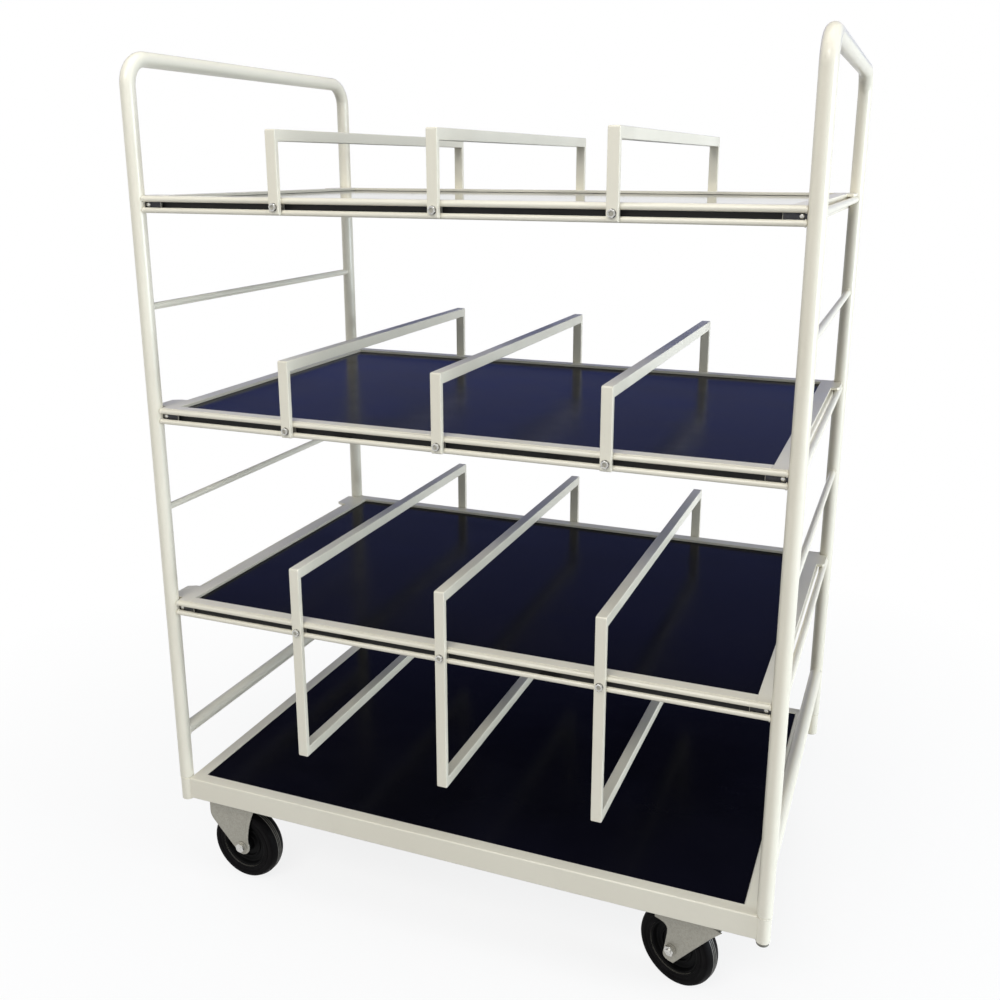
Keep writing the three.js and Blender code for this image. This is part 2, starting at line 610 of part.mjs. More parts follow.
// Shelf frame: flange plate, side angles, four rods with their tie plates, and braces
function shelfFrame(rodHeight) {
  const bottom = rodHeight + FLANGE_BOTTOM;
  const top = rodHeight + FLANGE_TOP;
  const webTop = bottom + WELD_OVERLAP;
  const tieOuterX = HALF_LENGTH - SIDE_FLANGE_OUTER - 2 * WELD_STEP;
  const tieOuterY = ROD_Y - ROD_RADIUS + WELD_OVERLAP;
  const tieInnerY = tieOuterY - TIE_PLATE_THICKNESS;
  const pieces = [extrudeUp(flangeOutline(), bottom, top)];
  const posts = [];
  for (const xSide of [-1, 1]) {
    pieces.push(sideAngle(xSide, rodHeight, webTop, tieInnerY + WELD_OVERLAP));
    for (const ySide of [-1, 1]) {
      pieces.push(boxBetween(
        vec(xSide * tieOuterX, ySide * tieOuterY, rodHeight - ROD_PITCH - ROD_RADIUS / 2),
        vec(xSide * (HALF_LENGTH - TIE_PLATE_REACH), ySide * tieInnerY, webTop + WELD_STEP),
      ));
      posts.push(bar(
        vec(xSide * HALF_LENGTH, ySide * HALF_DEPTH, rodHeight - ROD_PITCH - ROD_RADIUS - OVERRUN),
        vec(xSide * HALF_LENGTH, ySide * HALF_DEPTH, top + OVERRUN),
        POST_RADIUS + POST_CLEARANCE,
        POST_SIDES,
      ));
    }
  }
  for (let brace = 0; brace < BRACE_COUNT; brace += 1) {
    pieces.push(shelfBrace(rodHeight, RACK_LENGTH * (brace + 1) / (BRACE_COUNT + 1) - HALF_LENGTH));
  }
  for (const ySide of [-1, 1]) {
    for (const drop of [0, ROD_PITCH]) {
      const z = rodHeight - drop;
      const end = HALF_LENGTH - ROD_REACH;
      pieces.push(bar(vec(-end, ySide * ROD_Y, z), vec(end, ySide * ROD_Y, z), ROD_RADIUS, ROD_SIDES));
    }
  }
  return cut(joined(pieces), posts);
}

function shelfPanel(rodHeight) {
  const halfX = HALF_LENGTH - SIDE_FLANGE_OUTER - WELD_STEP - SIDE_WEB_THICKNESS - SHELF_PANEL_CLEARANCE;
  const halfY = HALF_DEPTH - SHELF_PANEL_EDGE;
  return box(
    vec(-halfX, -halfY, rodHeight + SHELF_PANEL_BOTTOM),
    vec(halfX, halfY, rodHeight + SHELF_PANEL_TOP),
  );
}

// A closed loop, like those of the lowest shelf
function closedOutline() {
  const shape = new THREE.Shape();
  const right = LEG_OUTER_Y - LOOP_CORNER_RADIUS;
  const upper = LOOP_RISE - LOOP_CORNER_RADIUS;
  const lower = LOOP_CORNER_RADIUS - LOOP_DROP;
  shape.absarc(right, lower, LOOP_CORNER_RADIUS, -Math.PI / 2, 0);
  shape.absarc(right, upper, LOOP_CORNER_RADIUS, 0, Math.PI / 2);
  shape.absarc(-right, upper, LOOP_CORNER_RADIUS, Math.PI / 2, Math.PI);
  shape.absarc(-right, lower, LOOP_CORNER_RADIUS, Math.PI, 1.5 * Math.PI);
  shape.closePath();
  shape.holes.push(rectangle(THREE.Path, LEG_INNER_Y, BAR_HEIGHT - LOOP_DROP, LOOP_RISE - BAR_HEIGHT));
  return shape;
}

// A loop that is open below, with rounded leg ends, like those of the upper shelves
function openOutline() {
  const shape = new THREE.Shape();
  const right = LEG_OUTER_Y - LOOP_CORNER_RADIUS;
  const upper = LOOP_RISE - LOOP_CORNER_RADIUS;
  const endY = (LEG_INNER_Y + LEG_OUTER_Y) / 2;
  const endRadius = LEG_DEPTH / 2 - LEG_END_FLAT / 2;
  const lower = endRadius - LEG_DROP;
  const flat = LEG_END_FLAT / 2;
  shape.absarc(endY - flat, lower, endRadius, Math.PI, 1.5 * Math.PI);
  shape.absarc(endY + flat, lower, endRadius, 1.5 * Math.PI, 2 * Math.PI);
  shape.absarc(right, upper, LOOP_CORNER_RADIUS, 0, Math.PI / 2);
  shape.absarc(-right, upper, LOOP_CORNER_RADIUS, Math.PI / 2, Math.PI);
  shape.absarc(-endY - flat, lower, endRadius, Math.PI, 1.5 * Math.PI);
  shape.absarc(-endY + flat, lower, endRadius, 1.5 * Math.PI, 2 * Math.PI);
  shape.lineTo(-LEG_INNER_Y, LOOP_RISE - BAR_HEIGHT);
  shape.lineTo(LEG_INNER_Y, LOOP_RISE - BAR_HEIGHT);
  shape.closePath();
  return shape;
}

// The space inside the tube of a loop, whose legs are open below or closed by a bar
function loopHollow(closed) {
  const outer = LEG_OUTER_Y - LOOP_WALL;
  const inner = LEG_INNER_Y + LOOP_WALL;
  const innerTop = LOOP_RISE - BAR_HEIGHT + LOOP_WALL;
  const bottom = closed ? LOOP_WALL - LOOP_DROP : LEG_DROP_WALL - LEG_DROP;
  const innerBottom = closed ? BAR_HEIGHT - LOOP_DROP - LOOP_WALL : bottom - OVERRUN;
  const width = DIVIDER_WIDTH - 2 * LOOP_WALL;
  const whole = rectangle(THREE.Shape, outer, bottom, LOOP_RISE - LOOP_WALL);
  const window = rectangle(THREE.Shape, inner, innerBottom, innerTop);
  return extrudeAcross(whole, width, 0).subtract(extrudeAcross(window, width + OVERRUN, 0));
}

function divider(rodHeight, x, closed) {
  const outline = closed ? closedOutline() : openOutline();
  const skin = extrudeAcross(outline, DIVIDER_WIDTH, LOOP_EDGE_CHAMFER);
  const holes = [-1, 1].map((side) => bar(
    vec(0, side * (LEG_INNER_Y - OVERRUN), -GAP_CENTRE_DROP),
    vec(0, side * (LEG_OUTER_Y + OVERRUN), -GAP_CENTRE_DROP),
    BOLT_DIAMETER / 2 + SEAT_GAP,
    BOLT_SIDES,
  ));
  return cut(skin, [loopHollow(closed), ...holes]).translate([x, 0, rodHeight]);
}

// Clamp: a hexagon bolt and the tapped plate that it pulls against the rods
function dividerClamp(rodHeight, x, side) {
  const z = rodHeight - GAP_CENTRE_DROP;
  const headInner = side * (LEG_OUTER_Y + SEAT_GAP);
  const headOuter = headInner + side * BOLT_HEAD_HEIGHT;
  const head = hexBar(vec(x, 0, z), BOLT_HEAD_ACROSS_FLATS, headInner, headOuter);
  const tail = vec(x, side * (CLAMP_INNER_Y - BOLT_TAIL), z);
  const shank = bar(vec(x, (headInner + headOuter) / 2, z), tail, BOLT_DIAMETER / 2, BOLT_SIDES);
  const plate = boxBetween(
    vec(x - CLAMP_PLATE_WIDTH / 2, side * CLAMP_OUTER_Y, rodHeight + CLAMP_PLATE_BOTTOM),
    vec(x + CLAMP_PLATE_WIDTH / 2, side * CLAMP_INNER_Y, rodHeight + CLAMP_PLATE_TOP),
  );
  return joined([head, shank, plate]);
}

function tyre() {
  const outer = WHEEL_DIAMETER / 2;
  const inner = TYRE_INNER_DIAMETER / 2;
  const half = WHEEL_WIDTH / 2;
  const ring = SIDEWALL_RING_DIAMETER / 2;
  const side = half - SIDEWALL_RING_DEPTH;
  const profile = [
    [inner, -side],
    [ring, -side],
    [ring + SIDEWALL_RING_DEPTH, -half],
    [outer - TYRE_SHOULDER_DROP, -half],
    [outer, TYRE_SHOULDER_WIDTH - half],
    [outer, half - TYRE_SHOULDER_WIDTH],
    [outer - TYRE_SHOULDER_DROP, half],
    [ring + SIDEWALL_RING_DEPTH, half],
    [ring, side],
    [inner, side],
    [inner, -side],
  ];
  return turned(profile, WHEEL_SIDES);
}

function hub() {
  const rimOuter = TYRE_INNER_DIAMETER / 2 * Math.cos(Math.PI / WHEEL_SIDES) - SEAT_GAP;
  const rimInner = rimOuter - HUB_RIM_THICKNESS;
  const halfRim = HUB_RIM_WIDTH / 2;
  const halfWeb = HUB_WEB_THICKNESS / 2;
  const barrel = HUB_BARREL_DIAMETER / 2;
  const bore = AXLE_DIAMETER / 2 + RUNNING_GAP;
  const halfHub = HUB_LENGTH / 2;
  const profile = [
    [bore, -halfHub],
    [barrel, -halfHub],
    [barrel, -halfWeb],
    [rimInner, -halfWeb],
    [rimInner, -halfRim],
    [rimOuter, -halfRim],
    [rimOuter, halfRim],
    [rimInner, halfRim],
    [rimInner, halfWeb],
    [barrel, halfWeb],
    [barrel, halfHub],
    [bore, halfHub],
    [bore, -halfHub],
  ];
  return turned(profile, HUB_SIDES);
}

// The fork seen from the side, in the XZ plane, with the swivel axis at x = 0
function forkOutline() {
  const lead = CASTOR_TRAIL - FORK_LEAD;
  const rear = CASTOR_TRAIL + FORK_REAR;
  const corner = CROWN_TOP - FORK_SHOULDER_DROP;
  const dx = CASTOR_TRAIL - lead;
  const dz = AXLE_HEIGHT - corner;
  const slope = Math.atan2(dz, dx) - Math.asin(FORK_BOSS_RADIUS / Math.hypot(dx, dz));
  const shape = new THREE.Shape();
  shape.moveTo(lead, CROWN_TOP);
  shape.lineTo(lead, corner + FORK_SHOULDER_ROUNDING);
  shape.quadraticCurveTo(lead, corner, lead + FORK_SHOULDER_ROUNDING * Math.cos(slope),
    corner + FORK_SHOULDER_ROUNDING * Math.sin(slope));
  const bossEnd = Math.acos(FORK_REAR / FORK_BOSS_RADIUS);
  shape.absarc(CASTOR_TRAIL, AXLE_HEIGHT, FORK_BOSS_RADIUS, slope - Math.PI / 2, bossEnd);
  const flareTop = CROWN_TOP - FORK_FLARE_TOP;
  shape.lineTo(rear, flareTop - FORK_FLARE_HEIGHT);
  shape.quadraticCurveTo(rear, flareTop - FORK_FLARE_BEND, rear + FORK_FLARE, flareTop);
  shape.lineTo(rear + FORK_FLARE, CROWN_TOP);
  shape.closePath();
  return shape;
}

// The space between the legs, under the crown and between the aprons
function forkSpace() {
  const lead = CASTOR_TRAIL - FORK_LEAD;
  const rear = CASTOR_TRAIL + FORK_REAR;
  const apron = CROWN_TOP - FORK_APRON_DROP;
  const outline = [
    [lead - OVERRUN, -OVERRUN],
    [rear + FORK_FLARE + OVERRUN, -OVERRUN],
    [rear + FORK_FLARE + OVERRUN, apron],
    [rear + FORK_FLARE * APRON_FLARE_SHARE, apron],
    [rear + FORK_FLARE * CROWN_FLARE_SHARE, CROWN_BOTTOM],
    [lead + FORK_SHEET, CROWN_BOTTOM],
    [lead + FORK_SHEET, apron],
    [lead - OVERRUN, apron],
  ];
  return new THREE.Shape(outline.map(([x, z]) => new THREE.Vector2(x, z)));
}

// The wide leg on the +Y side, between the faces of the sheet
function wideLeg() {
  const top = CROWN_TOP - AXLE_HEIGHT - WELD_STEP;
  const [topLead] = WIDE_LEG_LEADING[0];
  const [topTrail] = WIDE_LEG_TRAILING[WIDE_LEG_TRAILING.length - 1];
  const edge = [...WIDE_LEG_TRAILING, [topTrail, top], [topLead, top], ...WIDE_LEG_LEADING];
  const shape = new THREE.Shape(edge.map(([x, z]) => new THREE.Vector2(CASTOR_TRAIL + x, AXLE_HEIGHT + z)));
  return extrudeSideways(shape, FORK_SHEET - 2 * WELD_STEP).translate(0, (FORK_INNER + FORK_OUTER) / 2, 0);
}

function fork() {
  const cutTop = CROWN_TOP - WIDE_LEG_CUT_DROP;
  const cutters = [
    extrudeSideways(forkSpace(), 2 * FORK_INNER),
    box(vec(-CASTOR_PLATE_LENGTH, FORK_INNER / 2, 0), vec(CASTOR_PLATE_LENGTH, FORK_OUTER + OVERRUN, cutTop)),
  ];
  const sheet = cut(extrudeSideways(forkOutline(), 2 * FORK_OUTER), cutters).add(wideLeg());
  const race = bar(vec(0, 0, CROWN_TOP - FORK_CROWN_THICKNESS / 2), vec(0, 0, LOWER_RACE_TOP),
    LOWER_RACE_DIAMETER / 2, DISC_SIDES);
  const axleEnd = FORK_OUTER + OVERRUN;
  const axleHole = bar(vec(CASTOR_TRAIL, -axleEnd, AXLE_HEIGHT), vec(CASTOR_TRAIL, axleEnd, AXLE_HEIGHT),
    AXLE_DIAMETER / 2 + SEAT_GAP, AXLE_SIDES);
  const kingpinHole = bar(vec(0, 0, CROWN_BOTTOM - OVERRUN), vec(0, 0, LOWER_RACE_TOP + OVERRUN),
    KINGPIN_DIAMETER / 2 + SEAT_GAP, AXLE_SIDES);
  return cut(sheet.add(race), [axleHole, kingpinHole]);
}

function castorPlate() {
  const halfX = CASTOR_PLATE_LENGTH / 2;
  const halfY = CASTOR_PLATE_WIDTH / 2;
  const middle = (CASTOR_PLATE_TOP + CASTOR_PLATE_BOTTOM) / 2;
  const nutTop = CROWN_BOTTOM - KINGPIN_NUT_GAP;
  const nutBottom = nutTop - KINGPIN_NUT_HEIGHT;
  const pieces = [
    box(vec(-halfX, -halfY, CASTOR_PLATE_BOTTOM), vec(halfX, halfY, CASTOR_PLATE_TOP)),
    bar(vec(0, 0, UPPER_RACE_BOTTOM), vec(0, 0, middle), UPPER_RACE_DIAMETER / 2, DISC_SIDES),
    bar(vec(0, 0, nutBottom - KINGPIN_TAIL), vec(0, 0, middle), KINGPIN_DIAMETER / 2, AXLE_SIDES),
    bar(vec(0, 0, nutBottom), vec(0, 0, nutTop), KINGPIN_NUT_DIAMETER / 2, HEXAGON_SIDES),
  ];
  for (const xSide of [-1, 1]) {
    for (const ySide of [-1, 1]) {
      const x = xSide * PLATE_BOLT_SPACING_LENGTH / 2;
      const y = ySide * PLATE_BOLT_SPACING_WIDTH / 2;
      pieces.push(bar(vec(x, y, CASTOR_PLATE_BOTTOM - PLATE_BOLT_HEAD_HEIGHT), vec(x, y, middle),
        PLATE_BOLT_HEAD_DIAMETER / 2, HEXAGON_SIDES));
    }
  }
  return joined(pieces);
}

function axleBolt() {
  const head = FORK_OUTER + SEAT_GAP;
  const reach = head + AXLE_HEAD_HEIGHT;
  return joined([
    bar(vec(0, -(head + reach) / 2, 0), vec(0, reach + AXLE_TAIL, 0), AXLE_DIAMETER / 2, AXLE_SIDES),
    hexBar(vec(0, 0, 0), AXLE_HEAD_ACROSS_FLATS, -reach, -head),
    hexBar(vec(0, 0, 0), AXLE_HEAD_ACROSS_FLATS, head, reach),
  ]);
}

// Named meshes
const rack = new THREE.Group();

function place(name, manifold, finish, parent = rack) {
  const mesh = new THREE.Mesh(geometryOf(manifold), new THREE.MeshStandardMaterial(finish));
  mesh.name = name;
  parent.add(mesh);
}

place('left_end_frame', endFrame(-HALF_LENGTH), PAINT);
place('right_end_frame', endFrame(HALF_LENGTH), PAINT);
place('base_frame', baseFrame(), PAINT);
place('base_panel', deckPanel(), PANEL_FILM);
place('stub_plug', stubPlug(HALF_LENGTH, -HALF_DEPTH), PLUG_PLASTIC);

const SHELF_NAMES = ['low', 'middle', 'top'];
const COLUMN_NAMES = ['left', 'centre', 'right'];
for (let level = 0; level < SHELF_COUNT; level += 1) {
  const rodHeight = shelfHeight(level);
  const shelfName = SHELF_NAMES[level];
  place(`${shelfName}_shelf_frame`, shelfFrame(rodHeight), PAINT);
  place(`${shelfName}_shelf_panel`, shelfPanel(rodHeight), PANEL_FILM);
  for (let column = 0; column < DIVIDER_COUNT; column += 1) {
    const x = RACK_LENGTH * (column + 1) / (DIVIDER_COUNT + 1) - HALF_LENGTH;
    const name = `${shelfName}_${COLUMN_NAMES[column]}`;
    place(`${name}_divider`, divider(rodHeight, x, level === 0), PAINT);
    place(`${name}_front_clamp`, dividerClamp(rodHeight, x, -1), BRIGHT_ZINC);
    place(`${name}_rear_clamp`, dividerClamp(rodHeight, x, 1), BRIGHT_ZINC);
  }
}

for (const castor of castorPlaces()) {
  const plateGroup = new THREE.Group();
  plateGroup.position.set(castor.x, castor.y, 0);
  rack.add(plateGroup);
  place(`${castor.name}_castor_plate`, castorPlate(), ZINC, plateGroup);
  const swivel = new THREE.Group();
  swivel.rotation.z = castor.heading;
  plateGroup.add(swivel);
  place(`${castor.name}_castor_fork`, fork(), ZINC, swivel);
  const wheel = new THREE.Group();
  wheel.position.set(CASTOR_TRAIL, 0, AXLE_HEIGHT);
  swivel.add(wheel);
  place(`${castor.name}_castor_tyre`, tyre(), RUBBER, wheel);
  place(`${castor.name}_castor_hub`, hub(), HUB_PLASTIC, wheel);
  place(`${castor.name}_castor_axle`, axleBolt(), BRIGHT_ZINC, wheel);
}

export default rack;
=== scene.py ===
"""Looks of the mobile storage rack on its CAD frame. Pieces are in mm; shaders, camera and light in m."""

import json
import math
import random

import bmesh
import bpy
from mathutils import Matrix, Vector

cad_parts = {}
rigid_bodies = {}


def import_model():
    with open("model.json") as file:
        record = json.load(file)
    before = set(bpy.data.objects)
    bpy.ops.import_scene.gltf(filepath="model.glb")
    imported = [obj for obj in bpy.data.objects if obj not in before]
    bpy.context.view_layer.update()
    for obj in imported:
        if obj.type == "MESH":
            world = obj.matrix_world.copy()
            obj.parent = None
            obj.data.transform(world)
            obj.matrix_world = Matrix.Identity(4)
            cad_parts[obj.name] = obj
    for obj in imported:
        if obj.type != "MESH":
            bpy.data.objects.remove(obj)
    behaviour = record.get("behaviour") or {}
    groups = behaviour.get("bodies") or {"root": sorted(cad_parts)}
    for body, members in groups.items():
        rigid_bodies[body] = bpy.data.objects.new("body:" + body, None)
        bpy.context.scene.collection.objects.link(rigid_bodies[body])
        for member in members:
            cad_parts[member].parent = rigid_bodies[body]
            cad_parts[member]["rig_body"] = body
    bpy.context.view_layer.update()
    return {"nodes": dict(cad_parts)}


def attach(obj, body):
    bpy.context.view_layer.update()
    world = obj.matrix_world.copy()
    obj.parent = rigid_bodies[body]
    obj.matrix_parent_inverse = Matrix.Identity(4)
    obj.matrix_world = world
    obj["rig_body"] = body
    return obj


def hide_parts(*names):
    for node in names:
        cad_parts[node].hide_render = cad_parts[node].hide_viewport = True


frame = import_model()
MM = 0.001
OVERLAP = 0.3  # how far welded pieces reach into each other
AXIS_X, AXIS_Y, AXIS_Z = (1, 0, 0), (0, 1, 0), (0, 0, 1)
ORIGIN = (0, 0, 0)

# The layout follows the CAD; stubs and axle nuts are narrower here.
# End frames: post axes, handle axis and its bends, tubes, rungs
HALF_X, HALF_Y = 608.0, 385.0
HANDLE_Z, BEND = 1688.0, 49.0
POST_R, BORE_R = 14.0, 12.0
POST_LIP_INSET, POST_LIP_HEIGHT, FOOT_GAP = 0.9, 1.1, 0.3
RUNG_R, LOW_RUNG_R, LOW_RUNG_Z = 6.75, 13.7, 349.0
RUNG_UNDER_ROD, GUARD_RUNG_RISE = 0.5, 200
RUNG_INSET, LOW_RUNG_INSET = 11.0, 9.0
RUNG_WELD_R, RUNG_WELD_REACH, RUNG_WELD_HALF_WIDTH = 1.5, 0.6, 11.8

# Base frame: rails, corner stubs with spigots, ledges, cross member, corner plates, panel
RAIL_Z0, RAIL_Z1, RAIL_X, RAIL_Y, RAIL_W = 195.0, 243.0, 596.5, 392.7, 26.7
RAIL_CORNER_R = 3.2
INSIDE_X, INSIDE_Y = RAIL_X - RAIL_W, RAIL_Y - RAIL_W
STUB_R, STUB_Z0, STUB_Z1 = 13.2, 192.0, 244.5
SPIGOT_R, SPIGOT_BORE, SPIGOT_Z = 11.7, 9.0, 304.5
LEDGE_W, LEDGE_Z0, LEDGE_Z1 = 20, 222.7, 226.7
CHANNEL_HALF_W, CHANNEL_H, CHANNEL_T = 20, 24, 3
CORNER_PLATE_X, CORNER_PLATE_Y, CORNER_PLATE_Z0, CORNER_PLATE_Z1 = 58.5, 48.5, 195.4, 200.4
SEAM_R, STUB_WELD_R, STUB_WELD_AT = 0.75, 1.4, 12.5
DECK_HALF_X, DECK_HALF_Y, DECK_Z0, DECK_Z1 = 569.3, 365.5, 227.0, 242.0

# Shelves: heights of the upper rod axes, rods, flange with its ears, webs, tie plates, braces, panel
RODS = {"low": 642.0, "middle": 1042.0, "top": 1442.0}
ROD_R, ROD_PITCH, ROD_Y, POST_CLEAR = 5.0, 20.0, 386.5, 14.7
COLLAR_AT, COLLAR_RING_R, COLLAR_R = 15.9, 4.7, 1.5
FLANGE_TOP, FLANGE_T = 5.8, 6.0
FLANGE_END_X, FLANGE_OPEN_X, FLANGE_OPEN_Y, FLANGE_RIM_Y = 595, 568.2, 384.5, 360
EAR_OUT_Y, EAR_IN_Y, EAR_CUT_X, EAR_CUT_Y = 368, 305, 608, 313.5
LEFT_EAR_X, RIGHT_EAR_X = 624, 612
WEB_OUT_X, WEB_IN_X, WEB_T, WEB_DROP, WEB_HALF_Y = 594.6, 574.6, 3, 24.6, 378.3
TIE_X0, TIE_X1, TIE_Y0, TIE_Y1, TIE_DROP = 558, 594.2, 378, 382, 22.5
TIE_WELD_R, TIE_WELD_X0, TIE_WELD_X1, TIE_WELD_Y, TIE_WELD_OFF = 0.8, 560, 592, 382.3, 3.2
TIE_SCREW_X = 586
BRACE_X, BRACE_DROP, BRACE_T, BRACE_LEG = 202.667, 21.8, 2.5, 3.7
BRACE_HALF_W, BRACE_HALF_Y, BRACE_TAB_HALF_W, BRACE_TAB_Y = 19.6, 324.8, 20, 385.2
SHELF_HALF_X, SHELF_HALF_Y, SHELF_LOW, SHELF_HIGH = 591.1, 374.0, 21.5, 0.5

# Divider loops and their clamps
COLUMNS = {"left": -304.0, "centre": 0.0, "right": 304.0}
LEG_IN, LEG_OUT, LOOP_UP, BAR_H, LOOP_W = 391.8, 401.8, 120.0, 20.0, 20.0
LEG_DROP, LOOP_DROP = 23.5, 278.5
LOOP_EDGE, LEG_EDGE, LEG_END_R, LOOP_CORNER_R = 1.6, 1.5, 3.4, 3.0
MITRE_WELD_R, MITRE_WELD_INSET = 0.42, 0.25
WASHER_T, BOLT_FLATS, BOLT_HEAD = 0.3, 12.6, 5.3
BOLT_END_Y, BOLT_R = 374.9, 3.9
CLAMP_Y0, CLAMP_Y1, CLAMP_HALF_W, CLAMP_LOW, CLAMP_HIGH = 376.2, 381.2, 7, 21.1, 0.9

# Castors: trail, heights, fork, and for each one X and Y of the swivel axis and the heading
TRAIL, AXLE_Z, CROWN_Z, CROWN_LOW = 38.0, 80.0, 178.9, 174.9
CROWN_BEND, LEG_FACE, LEG_BACK, LEG_BEND_Y, LEG_TOP_Y = 5, 26.5, 23.6, 21.5, 20
BEND_Z = CROWN_Z - CROWN_BEND
BOSS_R = 19
DENT_X, DENT_WIDTH, DENT_DEPTH, DENT_Z, DENT_RISE = 3.5, 7.0, 1.7, 100, 40
CREASE_X, CREASE_Z, CREASE_SLOPE, CREASE_RISE = 46, 103, 0.129, 14
CREASE_DEPTH, CREASE_WIDTH, CREASE_TILT = 1.3, 1.3, 0.11
RIM_DEPTH, RIM_WIDTH = 0.9, 1.1
LEG_COLUMNS, LEG_ROWS = 48, 56
PLATE_X, PLATE_Y, PLATE_CORNER_R, PLATE_Z0, PLATE_Z1 = 105, 85, 7, 191.2, 194.7
PLATE_BOLT_X, PLATE_BOLT_Y, PLATE_BOLT_FLATS = 40, 30, 11.2
KINGPIN_R, KINGPIN_Z0, KINGPIN_Z1, KINGPIN_FLATS = 7.0, 164.9, 190, 20.7
TREAD_HALF_W, GROOVE_Y0, GROOVE_Y1 = 6, 1.2, 2.9
AXLE_R, AXLE_FLATS, AXLE_WASHER_Y, AXLE_HEAD = 5.9, 18.6, 26.8, 8.9
CASTORS = {
    "front_left": (-535.0, -332.0, -3.4),
    "front_right": (482.0, -321.0, 158.3),
    "rear_left": (-535.0, 332.0, 6.0),
    "rear_right": (482.0, 321.0, 166.0),
}


# Mesh helpers
def between(side, inner, outer):
    """Two distances from the middle as coordinates on one side of it, the lower one first."""
    return sorted((side * inner, side * outer))


def circle(radius, sides):
    return [(radius * math.cos(2 * math.pi * i / sides), radius * math.sin(2 * math.pi * i / sides))
            for i in range(sides)]


# Signs of the four quadrants with the angle, in degrees, at which each one starts
QUADRANTS = ((1, 1, 0), (-1, 1, 90), (-1, -1, 180), (1, -1, 270))


def rounded(width, height, radius, steps):
    """A rectangle with round corners."""
    points = []
    for cx, cy, start in QUADRANTS:
        for k in range(steps + 1):
            a = math.radians(start + 90 * k / steps)
            points.append((cx * (width / 2 - radius) + radius * math.cos(a),
                           cy * (height / 2 - radius) + radius * math.sin(a)))
    return points


def skin(bm, rings, closed=False, mat=0):
    """Faces between rings of points, capped at both ends unless the last ring joins the first."""
    loops = [[bm.verts.new(p) for p in ring] for ring in rings]
    count = len(loops[0])
    faces = []
    pairs = list(zip(loops, loops[1:])) + ([(loops[-1], loops[0])] if closed else [])
    for a, b in pairs:
        for i in range(count):
            j = (i + 1) % count
            faces.append(bm.faces.new((a[i], a[j], b[j], b[i])))
    if not closed:
        faces.append(bm.faces.new(tuple(reversed(loops[0]))))
        faces.append(bm.faces.new(tuple(loops[-1])))
    for face in faces:
        face.material_index = mat


def ring_at(section, origin, a, b):
    return [origin + a * u + b * v for u, v in section]


def rod(bm, start, end, radius, sides, edge=0.5, mat=0):
    start, end = Vector(start), Vector(end)
    axis = (end - start).normalized()
    a = axis.orthogonal().normalized()
    b = axis.cross(a)
    stations = [(start, radius - edge), (start + axis * edge, radius),
                (end - axis * edge, radius), (end, radius - edge)]
    skin(bm, [ring_at(circle(r, sides), p, a, b) for p, r in stations], mat=mat)


def append(bm, part):
    """Copies a finished part into the mesh and frees it."""
    mesh = bpy.data.meshes.new("part")
    part.to_mesh(mesh)
    part.free()
    bm.from_mesh(mesh)
    bpy.data.meshes.remove(mesh)


# From two coordinates across an axis and one along it to XYZ
SPOTS = {
    "y": lambda u, v, w: (u, w, v),
    "z": lambda u, v, w: (u, v, w),
}
SHARP = math.radians(25)


def plate(bm, outline, axis, low, high, edge=0.6, steps=2, mat=0, side_mat=None):
    """An outline across an axis, from low to high, with softened edges."""
    spot = SPOTS[axis]
    part = bmesh.new()
    lower = [part.verts.new(spot(u, v, low)) for u, v in outline]
    upper = [part.verts.new(spot(u, v, high)) for u, v in outline]
    caps = [part.faces.new(lower), part.faces.new(upper)]
    for face in caps:
        face.material_index = mat
    for i in range(len(outline)):
        j = (i + 1) % len(outline)
        face = part.faces.new((lower[i], lower[j], upper[j], upper[i]))
        face.material_index = mat if side_mat is None else side_mat
    bmesh.ops.recalc_face_normals(part, faces=part.faces)
    if edge:
        sharp = [e for e in part.edges if e.calc_face_angle(0) > SHARP]
        bmesh.ops.bevel(part, geom=sharp, offset=edge, segments=steps, profile=0.5,
                        affect="EDGES", clamp_overlap=True)
    append(bm, part)


def block(bm, low, high, edge=0.6, steps=2, mat=0, side_mat=None):
    outline = [(low[0], low[1]), (high[0], low[1]), (high[0], high[1]), (low[0], high[1])]
    plate(bm, outline, "z", low[2], high[2], edge, steps, mat, side_mat)


def lathe(bm, profile, centre, axis, sides, mat=0, shape=None):
    """A closed profile of (radius, distance along the axis), turned round the axis."""
    centre, axis = Vector(centre), Vector(axis).normalized()
    a = axis.orthogonal().normalized()
    b = axis.cross(a)
    rings = []
    for i in range(sides):
        angle = 2 * math.pi * i / sides
        out = a * math.cos(angle) + b * math.sin(angle)
        rings.append([centre + axis * h + out * (shape(r, h, angle) if shape else r) for r, h in profile])
    skin(bm, rings, closed=True, mat=mat)


def hexagon_nut(bm, centre, axis, flats, low, high, mat=0, bore=0.0):
    """A hexagon with a turned chamfer on its outer face."""
    chamfer_share, chamfer_slope = 0.485, 2.2

    def shape(r, h, angle):
        if r <= bore + 0.01:
            return r
        turn = (angle % (math.pi / 3)) - math.pi / 6
        corner = flats / 2 / math.cos(turn)
        return min(r / flats * 2 * corner, flats * chamfer_share + (high - h) * chamfer_slope)

    levels = [high - 1.4, high - 0.9, high - 0.5, high - 0.2, high]
    profile = [(bore, low), (flats / 2, low)] + [(flats / 2, h) for h in levels] + [(bore, high)]
    lathe(bm, profile, centre, axis, 72, mat, shape)


